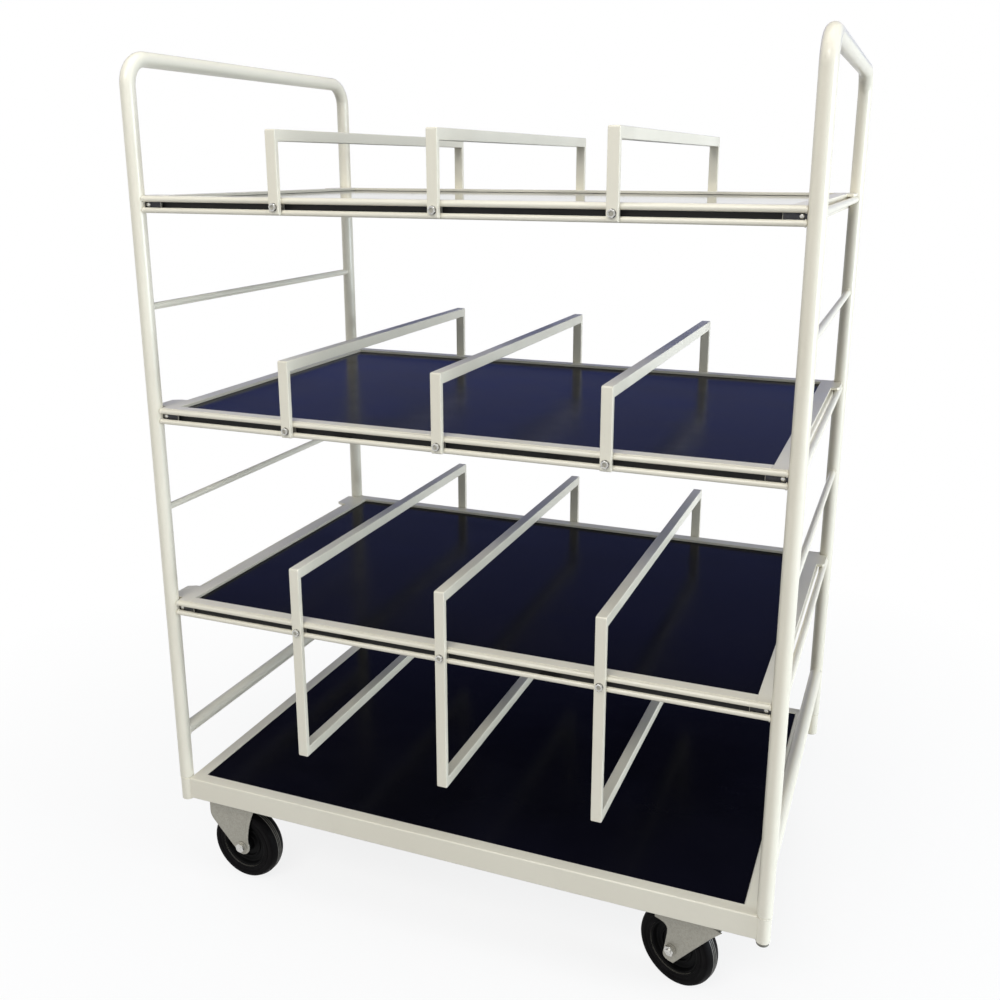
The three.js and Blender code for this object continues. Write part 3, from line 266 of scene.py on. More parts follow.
def bead(bm, points, radius, seed, closed=False, ripple=0.18, sides=8):
    """A weld run along a line of points, thinner at open ends."""
    wave, turn, end_share = 2.1, 6.28, 0.35
    rng = random.Random(seed)
    phase = rng.random() * turn
    rings = []
    count = len(points)
    for i, point in enumerate(points):
        before = points[i - 1] if closed or i else point
        after = points[(i + 1) % count] if closed or i < count - 1 else point
        along = (after - before).normalized()
        a = along.orthogonal().normalized()
        b = along.cross(a)
        r = radius * (1 + ripple * math.sin(i * wave + phase) + ripple * (rng.random() - 0.5))
        if not closed and i in (0, count - 1):
            r *= end_share
        rings.append(ring_at(circle(r, sides), point, a, b))
    skin(bm, rings, closed)


def straight(start, end, step=1.6):
    """Points about a step apart on a straight line."""
    start, end = Vector(start), Vector(end)
    count = max(3, int((end - start).length / step))
    return [start.lerp(end, i / count) for i in range(count + 1)]


MERGE_DISTANCE, DEGENERATE_LENGTH = 0.002, 0.0005


def make(name, bm, materials, node, smooth, matrix=None):
    """The finished mesh, riding on the body of the CAD node that it stands for."""
    bmesh.ops.remove_doubles(bm, verts=bm.verts, dist=MERGE_DISTANCE)
    bmesh.ops.dissolve_degenerate(bm, edges=bm.edges, dist=DEGENERATE_LENGTH)
    bmesh.ops.recalc_face_normals(bm, faces=bm.faces)
    if matrix is not None:
        bmesh.ops.transform(bm, matrix=matrix, verts=bm.verts)
    bmesh.ops.scale(bm, vec=(MM, MM, MM), verts=bm.verts)
    mesh = bpy.data.meshes.new(name)
    bm.to_mesh(mesh)
    bm.free()
    mesh.shade_smooth()
    mesh.set_sharp_from_angle(angle=math.radians(smooth))
    obj = bpy.data.objects.new(name, mesh)
    bpy.context.scene.collection.objects.link(obj)
    obj.modifiers.new("weighted_normals", "WEIGHTED_NORMAL").keep_sharp = True
    for material in materials:
        mesh.materials.append(material)
    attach(obj, frame["nodes"][node]["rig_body"])
    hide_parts(node)


# Materials
def colour(red, green, blue):
    """An sRGB colour from 0 to 255 as linear values."""
    out = []
    for value in (red, green, blue):
        value /= 255
        out.append(value / 12.92 if value <= 0.04045 else ((value + 0.055) / 1.055) ** 2.4)
    return (*out, 1.0)


def add_node(tree, kind, inputs=(), **settings):
    """A node with its settings, and its inputs linked or set, by name or by number."""
    node = tree.nodes.new(kind)
    for key, value in settings.items():
        setattr(node, key, value)
    for key, value in dict(inputs).items():
        if isinstance(value, bpy.types.NodeSocket):
            tree.links.new(value, node.inputs[key])
        else:
            node.inputs[key].default_value = value
    return node


def add_mix(tree, factor, a, b):
    return add_node(tree, "ShaderNodeMix", {0: factor, 6: a, 7: b}, data_type="RGBA").outputs[2]


class Nodes:
    """A short way to lay out a node material, with sockets named by underscores for spaces."""

    def __init__(self, name, **sockets):
        self.material = bpy.data.materials.new(name)
        self.material.use_nodes = True
        self.tree = self.material.node_tree
        self.shader = self.tree.nodes["Principled BSDF"]
        self.coords = self.tree.nodes.new("ShaderNodeTexCoord").outputs["Object"]
        for socket, value in sockets.items():
            self.shader.inputs[socket.replace("_", " ")].default_value = value

    def node(self, kind, inputs=(), **settings):
        return add_node(self.tree, kind, inputs, **settings)

    def calc(self, operation, *values):
        return self.node("ShaderNodeMath", enumerate(values), operation=operation).outputs["Value"]

    def link(self, output, socket):
        self.tree.links.new(output, self.shader.inputs[socket])

    def stretched(self, scale):
        return self.node("ShaderNodeMapping", {"Vector": self.coords, "Scale": scale}).outputs["Vector"]

    def noise(self, scale, detail=3.0, rough=0.5, vector=None):
        return self.node("ShaderNodeTexNoise", {
            "Vector": vector or self.coords, "Scale": scale, "Detail": detail, "Roughness": rough,
        }).outputs["Fac"]

    def ramp(self, value, stops):
        node = self.node("ShaderNodeValToRGB", {"Fac": value})
        elements = node.color_ramp.elements
        while len(elements) < len(stops):
            elements.new(0.5)
        for element, (place, shade) in zip(elements, stops):
            element.position = place
            element.color = shade if len(shade) == 4 else (*shade, 1.0)
        return node.outputs["Color"]

    def grey(self, value, low, high, start=0.3, end=0.7):
        """A value between start and end as one from low to high."""
        return self.node("ShaderNodeMapRange", {
            "Value": value, "From Min": start, "From Max": end, "To Min": low, "To Max": high,
        }).outputs["Result"]

    def mix(self, factor, a, b):
        return add_mix(self.tree, factor, a, b)

    def bump(self, layers):
        """Height layers as (height, strength, distance in metres), laid on each other."""
        normal = None
        for height, strength, distance in layers:
            inputs = {"Height": height, "Strength": strength, "Distance": distance}
            if normal is not None:
                inputs["Normal"] = normal
            normal = self.node("ShaderNodeBump", inputs).outputs["Normal"]
        self.link(normal, "Normal")

    def edges(self, radius=0.0012):
        """From 0 on faces to 1 along outer and inner edges."""
        soft = self.node("ShaderNodeBevel", {"Radius": radius}, samples=4).outputs["Normal"]
        hard = self.node("ShaderNodeNewGeometry").outputs["Normal"]
        dot = self.node("ShaderNodeVectorMath", {0: soft, 1: hard}, operation="DOT_PRODUCT")
        return self.grey(self.calc("SUBTRACT", 1.0, dot.outputs["Value"]), 0.0, 1.0, 0.004, 0.09)


def paint_material():
    m = Nodes("powder_coat", Metallic=0.0, Specular_IOR_Level=0.5, Coat_Weight=0.22, Coat_Roughness=0.16)
    broad = m.noise(2.3, 2.0)
    tone = m.ramp(broad, [(0.3, colour(227, 221, 203)), (0.7, colour(233, 228, 211))])
    dust = m.grey(m.noise(9.0, 6.0, 0.65), 0.0, 0.14, 0.5, 0.8)
    tone = m.mix(dust, tone, colour(198, 192, 176))
    specks = m.grey(m.noise(420.0, 1.0), 0.0, 0.16, 0.73, 0.78)
    tone = m.mix(specks, tone, colour(160, 155, 142))
    # Outer and inner edges turn a lighter cream in noisy patches: a painted highlight along the rounded
    # edges.
    edge_highlight_and_wear = m.calc("MULTIPLY", m.edges(), m.grey(m.noise(38.0, 5.0, 0.7), 0.0, 1.0, 0.42, 0.66))
    tone = m.mix(m.grey(edge_highlight_and_wear, 0.0, 0.4, 0.0, 1.0), tone, colour(240, 238, 230))
    m.link(tone, "Base Color")
    m.link(m.grey(m.noise(14.0, 4.0), 0.30, 0.44), "Roughness")
    m.bump([(m.noise(900.0, 1.0), 0.10, 0.0004), (m.noise(110.0, 2.0), 0.10, 0.0008)])
    return m.material


# Where the view grazes a board, it turns into a mirror, as the photo's top shelf does
GRAZING = (0.86, 0.93)


def film_material():
    m = Nodes("film_faced_board", Metallic=0.0)
    broad = m.noise(1.7, 3.0, 0.5)
    tone = m.ramp(broad, [(0.3, colour(12, 11, 14)), (0.5, colour(11, 11, 18)), (0.7, colour(15, 15, 26))])
    scuffs = m.grey(m.noise(9.0, 8.0, 0.74, m.stretched((1.0, 2.2, 1.0))), 0.0, 0.08, 0.58, 0.82)
    tone = m.mix(scuffs, tone, colour(52, 52, 64))
    dots = m.grey(m.noise(330.0, 2.0), 0.0, 0.35, 0.74, 0.80)
    tone = m.mix(dots, tone, colour(74, 73, 76))
    m.link(tone, "Base Color")
    haze = m.noise(6.0, 5.0, 0.6, m.stretched((1.0, 1.7, 1.0)))
    facing = m.node("ShaderNodeLayerWeight", {"Blend": 0.5}).outputs["Facing"]
    m.link(m.grey(facing, 1.12, 2.2, *GRAZING), "IOR")
    smooth = m.grey(facing, 1.0, 0.25, *GRAZING)
    m.link(m.calc("MULTIPLY", m.grey(haze, 0.17, 0.27), smooth), "Roughness")
    grain = m.noise(700.0, 2.0)
    m.bump([(grain, 0.06, 0.0002), (m.noise(18.0, 2.0), 0.02, 0.002)])
    return m.material


PLY_PITCH = 0.0028


def ply_edge_material():
    m = Nodes("sealed_plywood_edge", Metallic=0.0, Roughness=0.6)
    height = m.node("ShaderNodeSeparateXYZ", {"Vector": m.coords}).outputs["Z"]
    wave = m.calc("SINE", m.calc("MULTIPLY", height, 2 * math.pi / PLY_PITCH))
    tone = m.ramp(m.grey(wave, 0.0, 1.0, -1.0, 1.0), [(0.35, colour(9, 8, 9)), (0.65, colour(18, 17, 16))])
    grain = m.noise(60.0, 6.0, 0.7, m.stretched((1.0, 1.0, 14.0)))
    tone = m.mix(m.grey(grain, 0.0, 0.5, 0.4, 0.75), tone, colour(7, 7, 8))
    m.link(tone, "Base Color")
    m.bump([(wave, 0.15, 0.0003), (grain, 0.2, 0.0004)])
    return m.material


def zinc_material(name, low, high, rough, metal, spangle=420.0, bump=0.08):
    m = Nodes(name, Metallic=metal)
    cells = m.node("ShaderNodeTexVoronoi", {"Vector": m.coords, "Scale": spangle}).outputs["Color"]
    value = m.node("ShaderNodeSeparateColor", {"Color": cells}).outputs["Red"]
    cloud = m.noise(spangle * 0.2, 5.0, 0.65)
    tone = m.ramp(m.grey(m.calc("ADD", value, cloud), 0.0, 1.0, 0.3, 1.3), [(0.0, low), (1.0, high)])
    dull = m.grey(m.noise(30.0, 6.0, 0.7), 0.0, 0.25, 0.55, 0.8)
    tone = m.mix(dull, tone, colour(128, 126, 118))
    m.link(tone, "Base Color")
    m.link(m.grey(cloud, *rough), "Roughness")
    m.bump([(m.noise(1500.0, 2.0), bump, 0.0002), (m.noise(120.0, 2.0), bump, 0.0006)])
    return m.material


def rubber_material():
    m = Nodes("tyre_rubber", Metallic=0.0, Specular_IOR_Level=0.05)
    base = m.ramp(m.noise(40.0, 5.0, 0.6), [(0.3, colour(5, 4, 5)), (0.75, colour(11, 10, 11))])
    dusty = m.grey(m.noise(55.0, 8.0, 0.75), 0.0, 0.12, 0.52, 0.8)
    m.link(m.mix(dusty, base, colour(52, 51, 50)), "Base Color")
    m.link(m.grey(m.noise(35.0, 4.0), 0.46, 0.66), "Roughness")
    m.bump([(m.noise(800.0, 3.0), 0.25, 0.0004), (m.noise(150.0, 2.0), 0.12, 0.0008)])
    return m.material


def tread_material():
    m = Nodes("tyre_tread", Metallic=0.0, Specular_IOR_Level=0.45)
    base = m.ramp(m.noise(60.0, 6.0, 0.65), [(0.3, colour(72, 70, 65)), (0.75, colour(102, 99, 92))])
    grime = m.grey(m.noise(24.0, 6.0, 0.7), 0.0, 0.6, 0.5, 0.75)
    m.link(m.mix(grime, base, colour(46, 45, 43)), "Base Color")
    m.link(m.grey(m.noise(70.0, 4.0), 0.40, 0.60), "Roughness")
    m.bump([(m.noise(500.0, 3.0), 0.35, 0.0005)])
    return m.material


def plastic_material(name, low, high, rough, sheen, edge_highlight_and_wear):
    m = Nodes(name, Metallic=0.0, Specular_IOR_Level=sheen)
    tone = m.ramp(m.noise(70.0, 4.0, 0.6), [(0.3, low), (0.7, high)])
    edge = m.edges(0.0008)
    m.link(m.mix(m.grey(edge, 0.0, edge_highlight_and_wear, 0.0, 1.0), tone, colour(72, 71, 69)), "Base Color")
    m.link(m.grey(m.noise(45.0, 4.0), *rough), "Roughness")
    m.bump([(m.noise(1100.0, 2.0), 0.15, 0.0002)])
    return m.material


PAINT = paint_material()
FILM = film_material()
PLY = ply_edge_material()
ZINC = zinc_material("zinc_pressing", colour(152, 149, 139), colour(168, 165, 154), (0.46, 0.58), 0.6)
BRIGHT = zinc_material("bright_zinc", colour(176, 175, 171), colour(206, 205, 201), (0.18, 0.32), 0.95,
                       spangle=500.0, bump=0.05)
# Dark steel for the tie plates and washers; on the tie plates its dark colour also paints in the shade of the
# gap behind the rods.
STEEL = zinc_material("dull_steel", colour(48, 48, 51), colour(62, 62, 66), (0.34, 0.46), 0.8,
                      spangle=300.0)
RUBBER = rubber_material()
TREAD = tread_material()
HUB = plastic_material("hub_moulding", colour(3, 3, 3), colour(6, 6, 7), (0.5, 0.62), sheen=0.08, edge_highlight_and_wear=0.04)
PLUG = plastic_material("plug_moulding", colour(104, 103, 94), colour(122, 120, 110), (0.5, 0.65),
                        sheen=0.4, edge_highlight_and_wear=0.3)


# End frames
def hoop_rings(x, radius, bottom):
    """Rings along the bent tube, from the foot of the front post to that of the rear one."""
    steps = 20
    across = Vector(AXIS_X)
    section = circle(radius, 48)
    rings = [ring_at(section, Vector((x, -HALF_Y, bottom)), across, Vector(AXIS_Y))]
    for side in (-1, 1):
        for k in range(steps + 1):
            share = k / steps if side < 0 else 1 - k / steps
            a = share * math.pi / 2
            y = side * (HALF_Y - BEND + BEND * math.cos(a))
            spot = Vector((x, y, HANDLE_Z - BEND + BEND * math.sin(a)))
            rings.append(ring_at(section, spot, across, Vector((0, -side * math.cos(a), -math.sin(a)))))
    rings.append(ring_at(section, Vector((x, HALF_Y, bottom)), across, Vector((0, -1, 0))))
    return rings


def rung_bead(bm, x, z, radius, side, seed):
    """The weld where a rung meets a post, kept inside the outline of the rack."""
    points = []
    count = 44
    reach = radius + RUNG_WELD_REACH
    for i in range(count):
        a = 2 * math.pi * i / count
        dx = max(-RUNG_WELD_HALF_WIDTH, min(RUNG_WELD_HALF_WIDTH, reach * math.cos(a)))
        depth = math.sqrt((POST_R + 0.2) ** 2 - dx * dx)
        points.append(Vector((x + dx, side * (HALF_Y - depth), z + reach * math.sin(a))))
    bead(bm, points, RUNG_WELD_R, seed, True)


def end_frame(name, x):
    """The bent tube with a turned-in lip at its feet, and the rungs welded between its posts."""
    bm = bmesh.new()
    bottom = STUB_Z1 + FOOT_GAP
    outer = hoop_rings(x, POST_R, bottom + POST_LIP_HEIGHT)
    lip = hoop_rings(x, POST_R - POST_LIP_INSET, bottom)
    inner = hoop_rings(x, BORE_R, bottom)
    skin(bm, [lip[0]] + outer + [lip[-1]] + list(reversed(inner)), closed=True)
    rungs = [(LOW_RUNG_Z, LOW_RUNG_R)]
    for level, rod_z in enumerate(RODS.values()):
        rungs.append((rod_z - RUNG_UNDER_ROD - RUNG_R, RUNG_R))
        if level < 2:
            rungs.append((rod_z + GUARD_RUNG_RISE, RUNG_R))
    for k, (z, radius) in enumerate(rungs):
        inset = RUNG_INSET if radius == RUNG_R else LOW_RUNG_INSET
        rod(bm, (x, -HALF_Y + inset, z), (x, HALF_Y - inset, z), radius, 40)
        for side in (-1, 1):
            rung_bead(bm, x, z, radius, side, 10 * k + side + int(x))
    make(name + "_tube", bm, [PAINT], name, 40)


# Base frame
def rails(bm):
    """The four rails, mitred at their corners."""
    section = rounded(RAIL_W, RAIL_Z1 - RAIL_Z0, RAIL_CORNER_R, 4)
    centre_x, centre_y, centre_z = RAIL_X - RAIL_W / 2, RAIL_Y - RAIL_W / 2, (RAIL_Z0 + RAIL_Z1) / 2
    rings = []
    for sx, sy in ((-1, -1), (1, -1), (1, 1), (-1, 1)):
        rings.append([Vector((sx * (centre_x + u), sy * (centre_y + u), centre_z + v)) for u, v in section])
    skin(bm, rings, closed=True)


def base_frame():
    bm = bmesh.new()
    rails(bm)
    end_x, end_y = INSIDE_X - 0.2, INSIDE_Y - LEDGE_W - 0.4
    for side in (-1, 1):
        ys = between(side, INSIDE_Y - LEDGE_W, INSIDE_Y + OVERLAP)
        block(bm, (-end_x, ys[0], LEDGE_Z0), (end_x, ys[1], LEDGE_Z1))
        xs = between(side, INSIDE_X - LEDGE_W, INSIDE_X + OVERLAP)
        block(bm, (xs[0], -end_y, LEDGE_Z0), (xs[1], end_y, LEDGE_Z1))
    top = LEDGE_Z1 - 0.4
    low, web, inner = top - CHANNEL_H, top - CHANNEL_T, CHANNEL_HALF_W - CHANNEL_T
    channel = [(-CHANNEL_HALF_W, low), (-CHANNEL_HALF_W, top), (CHANNEL_HALF_W, top), (CHANNEL_HALF_W, low),
               (inner, low), (inner, web), (-inner, web), (-inner, low)]
    plate(bm, channel, "y", -INSIDE_Y - OVERLAP, INSIDE_Y + OVERLAP, 0.8)
    for cx, cy, _ in CASTORS.values():
        xs = between(math.copysign(1, cx), abs(cx) - CORNER_PLATE_X, INSIDE_X + OVERLAP)
        ys = between(math.copysign(1, cy), abs(cy) - CORNER_PLATE_Y, INSIDE_Y + OVERLAP)
        block(bm, (xs[0], ys[0], CORNER_PLATE_Z0), (xs[1], ys[1], CORNER_PLATE_Z1))
    for sx in (-1, 1):
        for sy in (-1, 1):
            corner_stub(bm, sx, sy)
    make("base_frame_welded", bm, [PAINT], "base_frame", 35)


def corner_stub(bm, sx, sy):
    """A stub with its spigot, and the welds that hold it in the corner of the rails."""
    x, y = sx * HALF_X, sy * HALF_Y
    profile = [
        (SPIGOT_BORE, STUB_Z0 + 0.5), (SPIGOT_BORE + 0.5, STUB_Z0),
        (STUB_R - 0.7, STUB_Z0), (STUB_R, STUB_Z0 + 0.7),
        (STUB_R, STUB_Z1 - 2.6), (SPIGOT_R, STUB_Z1 - 1.8),
        (SPIGOT_R, SPIGOT_Z - 1.5), (SPIGOT_R - 1.5, SPIGOT_Z), (SPIGOT_BORE, SPIGOT_Z),
    ]
    lathe(bm, profile, (x, y, 0), AXIS_Z, 48)
    seed = int(7 + 3 * sx + sy)
    reach_x = math.sqrt(STUB_R ** 2 - (HALF_X - RAIL_X) ** 2)
    reach_y = math.sqrt(STUB_R ** 2 - (RAIL_Y - HALF_Y) ** 2)
    seams = (((x - sx * (reach_y + 0.2), sy * (RAIL_Y - 0.1)), seed),
             ((sx * (RAIL_X - 0.1), y - sy * (reach_x + 0.2)), seed + 40))
    for spot, number in seams:
        bead(bm, straight((*spot, RAIL_Z0 + 2), (*spot, RAIL_Z1 - 2)), SEAM_R, number)
    weld = []
    for k in range(22):
        a = math.radians(5 + 95 * k / 21)
        weld.append(Vector((x + sx * STUB_WELD_AT * math.cos(a), y + sy * STUB_WELD_AT * math.sin(a),
                            STUB_Z1 - 1.4)))
    bead(bm, weld, STUB_WELD_R, seed + 11, ripple=0.2)
    turn = math.atan2(-sy, -sx)
    around = STUB_R + 0.3
    for z in (RAIL_Z1 - 0.1, RAIL_Z0 + 0.1):
        spots = []
        for k in range(40):
            a = turn + math.radians(-66 + 132 * k / 39)
            spots.append(Vector((x + around * math.cos(a), y + around * math.sin(a), z)))
        bead(bm, spots, 0.9, seed + 80)


def board(name, node, half_x, half_y, z0, z1):
    """A film-faced panel with sealed edges."""
    bm = bmesh.new()
    block(bm, (-half_x, -half_y, z0), (half_x, half_y, z1), 0.5, side_mat=1)
    make(name, bm, [FILM, PLY], node, 30)


def stub_plug():
    """The plug that shows under the front right stub only."""
    bm = bmesh.new()
    top = STUB_Z0 - 0.3
    profile = [(0, top - 7), (7.5, top - 6.9), (10.4, top - 6.2), (11.3, top - 5.0), (11.5, top - 3.5),
               (11.5, top - 0.4), (11.1, top), (8.7, top), (8.7, top + 12.5), (7.7, top + 14), (0, top + 14)]
    lathe(bm, profile, (HALF_X, -HALF_Y, 0), AXIS_Z, 48)
    make("stub_plug_moulded", bm, [PLUG], "stub_plug", 40)


# Shelves
def post_arc(x_from, x_to, sx, sy):
    """Where a plate is cut clear of a post, as points from one distance from the middle to another."""
    count = 6
    points = []
    for k in range(count + 1):
        x = x_from + (x_to - x_from) * k / count
        dy = math.sqrt(max(POST_CLEAR ** 2 - (HALF_X - x) ** 2, 0))
        points.append((sx * x, sy * (HALF_Y - dy)))
    return points


def coped_end(section, side, z, end, clear):
    """A section across a rod, moved along it to a distance from a post's axis."""
    ring = []
    for u, v in section:
        dy = ROD_Y + u - HALF_Y
        ring.append(Vector((end * (HALF_X - math.sqrt(clear ** 2 - dy * dy)), side * (ROD_Y + u), z + v)))
    return ring


def coped_rod(bm, side, z):
    section = circle(ROD_R, 32)
    skin(bm, [coped_end(section, side, z, end, POST_CLEAR) for end in (-1, 1)])
    section = circle(COLLAR_RING_R, 26)
    for end in (-1, 1):
        bead(bm, coped_end(section, side, z, end, COLLAR_AT), COLLAR_R, int(z + end), True, 0.12)


def shelf_frame(level, rod_z):
    """Flange with ears, side webs with ledges, front and rear rods, tie plates and braces."""
    bm = bmesh.new()
    low, top = rod_z + FLANGE_TOP - FLANGE_T, rod_z + FLANGE_TOP
    for sx in (-1, 1):
        tip = RIGHT_EAR_X if sx > 0 else LEFT_EAR_X
        near = HALF_X - math.sqrt(POST_CLEAR ** 2 - (HALF_Y - FLANGE_OPEN_Y) ** 2)
        half = [(FLANGE_END_X, EAR_OUT_Y), (tip, EAR_OUT_Y), (tip, EAR_CUT_Y), (EAR_CUT_X, EAR_IN_Y),
                (FLANGE_END_X, EAR_IN_Y)]
        outline = [(sx * FLANGE_OPEN_X, -FLANGE_OPEN_Y)] + post_arc(near, FLANGE_END_X, sx, -1)
        outline += [(sx * x, -y) for x, y in half] + [(sx * x, y) for x, y in reversed(half)]
        outline += list(reversed(post_arc(near, FLANGE_END_X, sx, 1))) + [(sx * FLANGE_OPEN_X, FLANGE_OPEN_Y)]
        plate(bm, outline, "z", low, top, 0.8, 3)
        web_x, ledge_z = WEB_OUT_X - WEB_T, low - WEB_DROP + WEB_T
        web = [(WEB_OUT_X, low - WEB_DROP), (WEB_OUT_X, low + OVERLAP), (web_x, low + OVERLAP),
               (web_x, ledge_z), (WEB_IN_X, ledge_z), (WEB_IN_X, low - WEB_DROP)]
        plate(bm, [(sx * x, z) for x, z in web], "y", -WEB_HALF_Y, WEB_HALF_Y, 0.7)
    end_x = FLANGE_OPEN_X - 0.1
    for sy in (-1, 1):
        strip = [(-end_x, sy * FLANGE_OPEN_Y), (end_x, sy * FLANGE_OPEN_Y),
                 (end_x, sy * FLANGE_RIM_Y), (-end_x, sy * FLANGE_RIM_Y)]
        plate(bm, strip, "z", low, top, 0.8, 3)
        for drop in (0, ROD_PITCH):
            coped_rod(bm, sy, rod_z - drop)
        for sx in (-1, 1):
            tie_plate(bm, sx, sy, rod_z, low)
    for x in (-BRACE_X, BRACE_X):
        shelf_brace(bm, x, rod_z)
    make(level + "_shelf_frame_welded", bm, [PAINT, BRIGHT, STEEL], level + "_shelf_frame", 35)


def tie_plate(bm, sx, sy, rod_z, top):
    """The plate behind the ends of two rods, with its welds and a round screw head."""
    xs, ys = between(sx, TIE_X0, TIE_X1), between(sy, TIE_Y0, TIE_Y1)
    # The plate is dark steel, and its dark colour also paints in the shade of the gap behind the rods.
    block(bm, (xs[0], ys[0], rod_z - TIE_DROP), (xs[1], ys[1], top + OVERLAP), mat=2)
    for drop in (0, ROD_PITCH):
        for k, off in enumerate((-1, 1)):
            z = rod_z - drop + off * TIE_WELD_OFF
            line = straight((sx * TIE_WELD_X0, sy * TIE_WELD_Y, z), (sx * TIE_WELD_X1, sy * TIE_WELD_Y, z))
            bead(bm, line, TIE_WELD_R, int(sx * 5 + sy * 3 + drop + k + rod_z))
    dome = [(0, 0), (4.2, 0), (4.1, 0.5), (3.4, 1.3), (2.2, 1.8), (1.0, 2.0), (0.9, 1.3), (0, 1.3)]
    lathe(bm, dome, (sx * TIE_SCREW_X, sy * TIE_Y1, rod_z - ROD_PITCH / 2), (0, sy, 0), 24, 1)


def shelf_brace(bm, x, rod_z):
    """A channel under a panel, with a flat tab at each end."""
    high = rod_z - BRACE_DROP
    low = high - BRACE_T
    half = [(BRACE_HALF_W, high), (BRACE_HALF_W, low - BRACE_LEG),
            (BRACE_HALF_W - BRACE_T, low - BRACE_LEG), (BRACE_HALF_W - BRACE_T, low)]
    section = [(x - u, z) for u, z in half] + [(x + u, z) for u, z in reversed(half)]
    plate(bm, section, "y", -BRACE_HALF_Y, BRACE_HALF_Y)
    for sy in (-1, 1):
        ys = between(sy, BRACE_HALF_Y - 0.2, BRACE_TAB_Y)
        block(bm, (x - BRACE_TAB_HALF_W, ys[0], low), (x + BRACE_TAB_HALF_W, ys[1], high))


# Divider loops
def loop_ring(outer, inner, x, soft=LOOP_EDGE):
    """The section of a loop at one place, between an outer and an inner point of the YZ plane."""
    (oy, oz), (iy, iz) = outer, inner
    flat = soft / math.hypot(iy - oy, iz - oz)
    steps = 3
    points = []
    for cu, cw, start in QUADRANTS:
        for k in range(steps + 1):
            a = math.radians(start + 90 * k / steps)
            share = 0.5 + cu * (0.5 - flat) + flat * math.cos(a)
            w = cw * (LOOP_W / 2 - soft) + soft * math.sin(a)
            points.append(Vector((x + w, oy + (iy - oy) * share, oz + (iz - oz) * share)))
    return points


def corner_rings(sy, z, sz, inner_z, x, back=False):
    """Rings round a loop corner whose outer side has a small radius."""
    steps = 3
    rings = []
    for k in range(steps + 1):
        a = math.radians(90 * (1 - k / steps if back else k / steps))
        outer = (sy * LEG_OUT - sy * LOOP_CORNER_R * (1 - math.cos(a)),
                 z - sz * LOOP_CORNER_R * (1 - math.sin(a)))
        rings.append(loop_ring(outer, (sy * LEG_IN, inner_z), x))
    return rings


def divider(level, column, rod_z, x):
    """A loop over the rods: closed on the lowest shelf, open below on the two others."""
    bm = bmesh.new()
    closed = level == "low"
    top, low = rod_z + LOOP_UP, rod_z - LOOP_DROP
    inner_top, inner_low = top - BAR_H, low + BAR_H
    over = corner_rings(-1, top, 1, inner_top, x) + corner_rings(1, top, 1, inner_top, x, back=True)
    corners = [(-1, top, inner_top), (1, top, inner_top)]
    if closed:
        front = corner_rings(-1, low, -1, inner_low, x, back=True)
        skin(bm, front + over + corner_rings(1, low, -1, inner_low, x), closed=True)
        corners += [(-1, low, inner_low), (1, low, inner_low)]
    else:
        ends = []
        for side in (-1, 1):
            leg = []
            for k in range(5):
                a = math.radians(90 * k / 4)
                inset = LEG_END_R * (1 - math.sin(a))
                z = rod_z - LEG_DROP + LEG_END_R * (1 - math.cos(a))
                outer, inner = (side * (LEG_OUT - inset), z), (side * (LEG_IN + inset), z)
                leg.append(loop_ring(outer, inner, x, LEG_EDGE))
            ends.append(leg)
        skin(bm, ends[0] + over + list(reversed(ends[1])))
    for k, (sy, z_out, z_in) in enumerate(corners):
        start = Vector((0, sy * (LEG_OUT - LOOP_EDGE), z_out + (z_in - z_out) * 0.16))
        end = Vector((0, sy * (LEG_IN + 0.6), z_in - (z_in - z_out) * 0.06))
        for w in (-LOOP_W / 2 + MITRE_WELD_INSET, LOOP_W / 2 - MITRE_WELD_INSET):
            shift = Vector((x + w, 0, 0))
            bead(bm, straight(start + shift, end + shift, 1.2), MITRE_WELD_R, k + int(x) + int(rod_z),
                 ripple=0.3, sides=6)
    make(f"{level}_{column}_loop_tube", bm, [PAINT], f"{level}_{column}_divider", 35)


def clamp(level, column, rod_z, x, side):
    """A hexagon bolt with a dished head and a washer, and the tapped plate behind the rods."""
    bm = bmesh.new()
    centre, axis = (x, 0, rod_z - ROD_PITCH / 2), (0, side, 0)
    head = LEG_OUT + WASHER_T
    washer = [(4.3, head), (6.9, head), (7.2, head + 0.3), (7.0, head + 0.6), (4.3, head + 0.6)]
    lathe(bm, washer, centre, axis, 40, 1)
    hexagon_nut(bm, centre, axis, BOLT_FLATS, head + 0.5, head + BOLT_HEAD, 0, 4.1)
    # The dish takes the darker, duller zinc instead of the head's bright zinc: painted shade in the recess.
    dish = [(0, head + 1), (4.15, head + 1), (4.15, head + 5.2), (3.9, head + 4.9), (3.2, head + 3.9),
            (0, head + 3.5)]
    lathe(bm, dish, centre, axis, 32, 2)
    shank = [(0, BOLT_END_Y), (BOLT_R - 0.9, BOLT_END_Y), (BOLT_R, BOLT_END_Y + 0.9), (BOLT_R, head + 1.2),
             (0, head + 1.2)]
    lathe(bm, shank, centre, axis, 32)
    ys = between(side, CLAMP_Y0, CLAMP_Y1)
    block(bm, (x - CLAMP_HALF_W, ys[0], rod_z - CLAMP_LOW), (x + CLAMP_HALF_W, ys[1], rod_z - CLAMP_HIGH),
          0.7, mat=2)
    name = f"{level}_{column}_" + ("front" if side < 0 else "rear")
    make(name + "_bolt", bm, [BRIGHT, STEEL, ZINC], name + "_clamp", 30)


# Castors
def bow(start, bend, end, count=8):
    """Points on a quadratic curve."""
    points = []
    for k in range(count + 1):
        t = k / count
        points.append(tuple(p * (1 - t) ** 2 + 2 * q * t * (1 - t) + r * t * t
                            for p, q, r in zip(start, bend, end)))
    return points


def boss(side):
    """The round end of the narrow leg, as height and X, from its foot up to where the edge leaves it."""
    last = 43 if side < 0 else 118
    angles = [math.radians(last * k / 10) for k in range(11)]
    return [(AXLE_Z - BOSS_R * math.cos(a), TRAIL + side * BOSS_R * math.sin(a)) for a in angles]


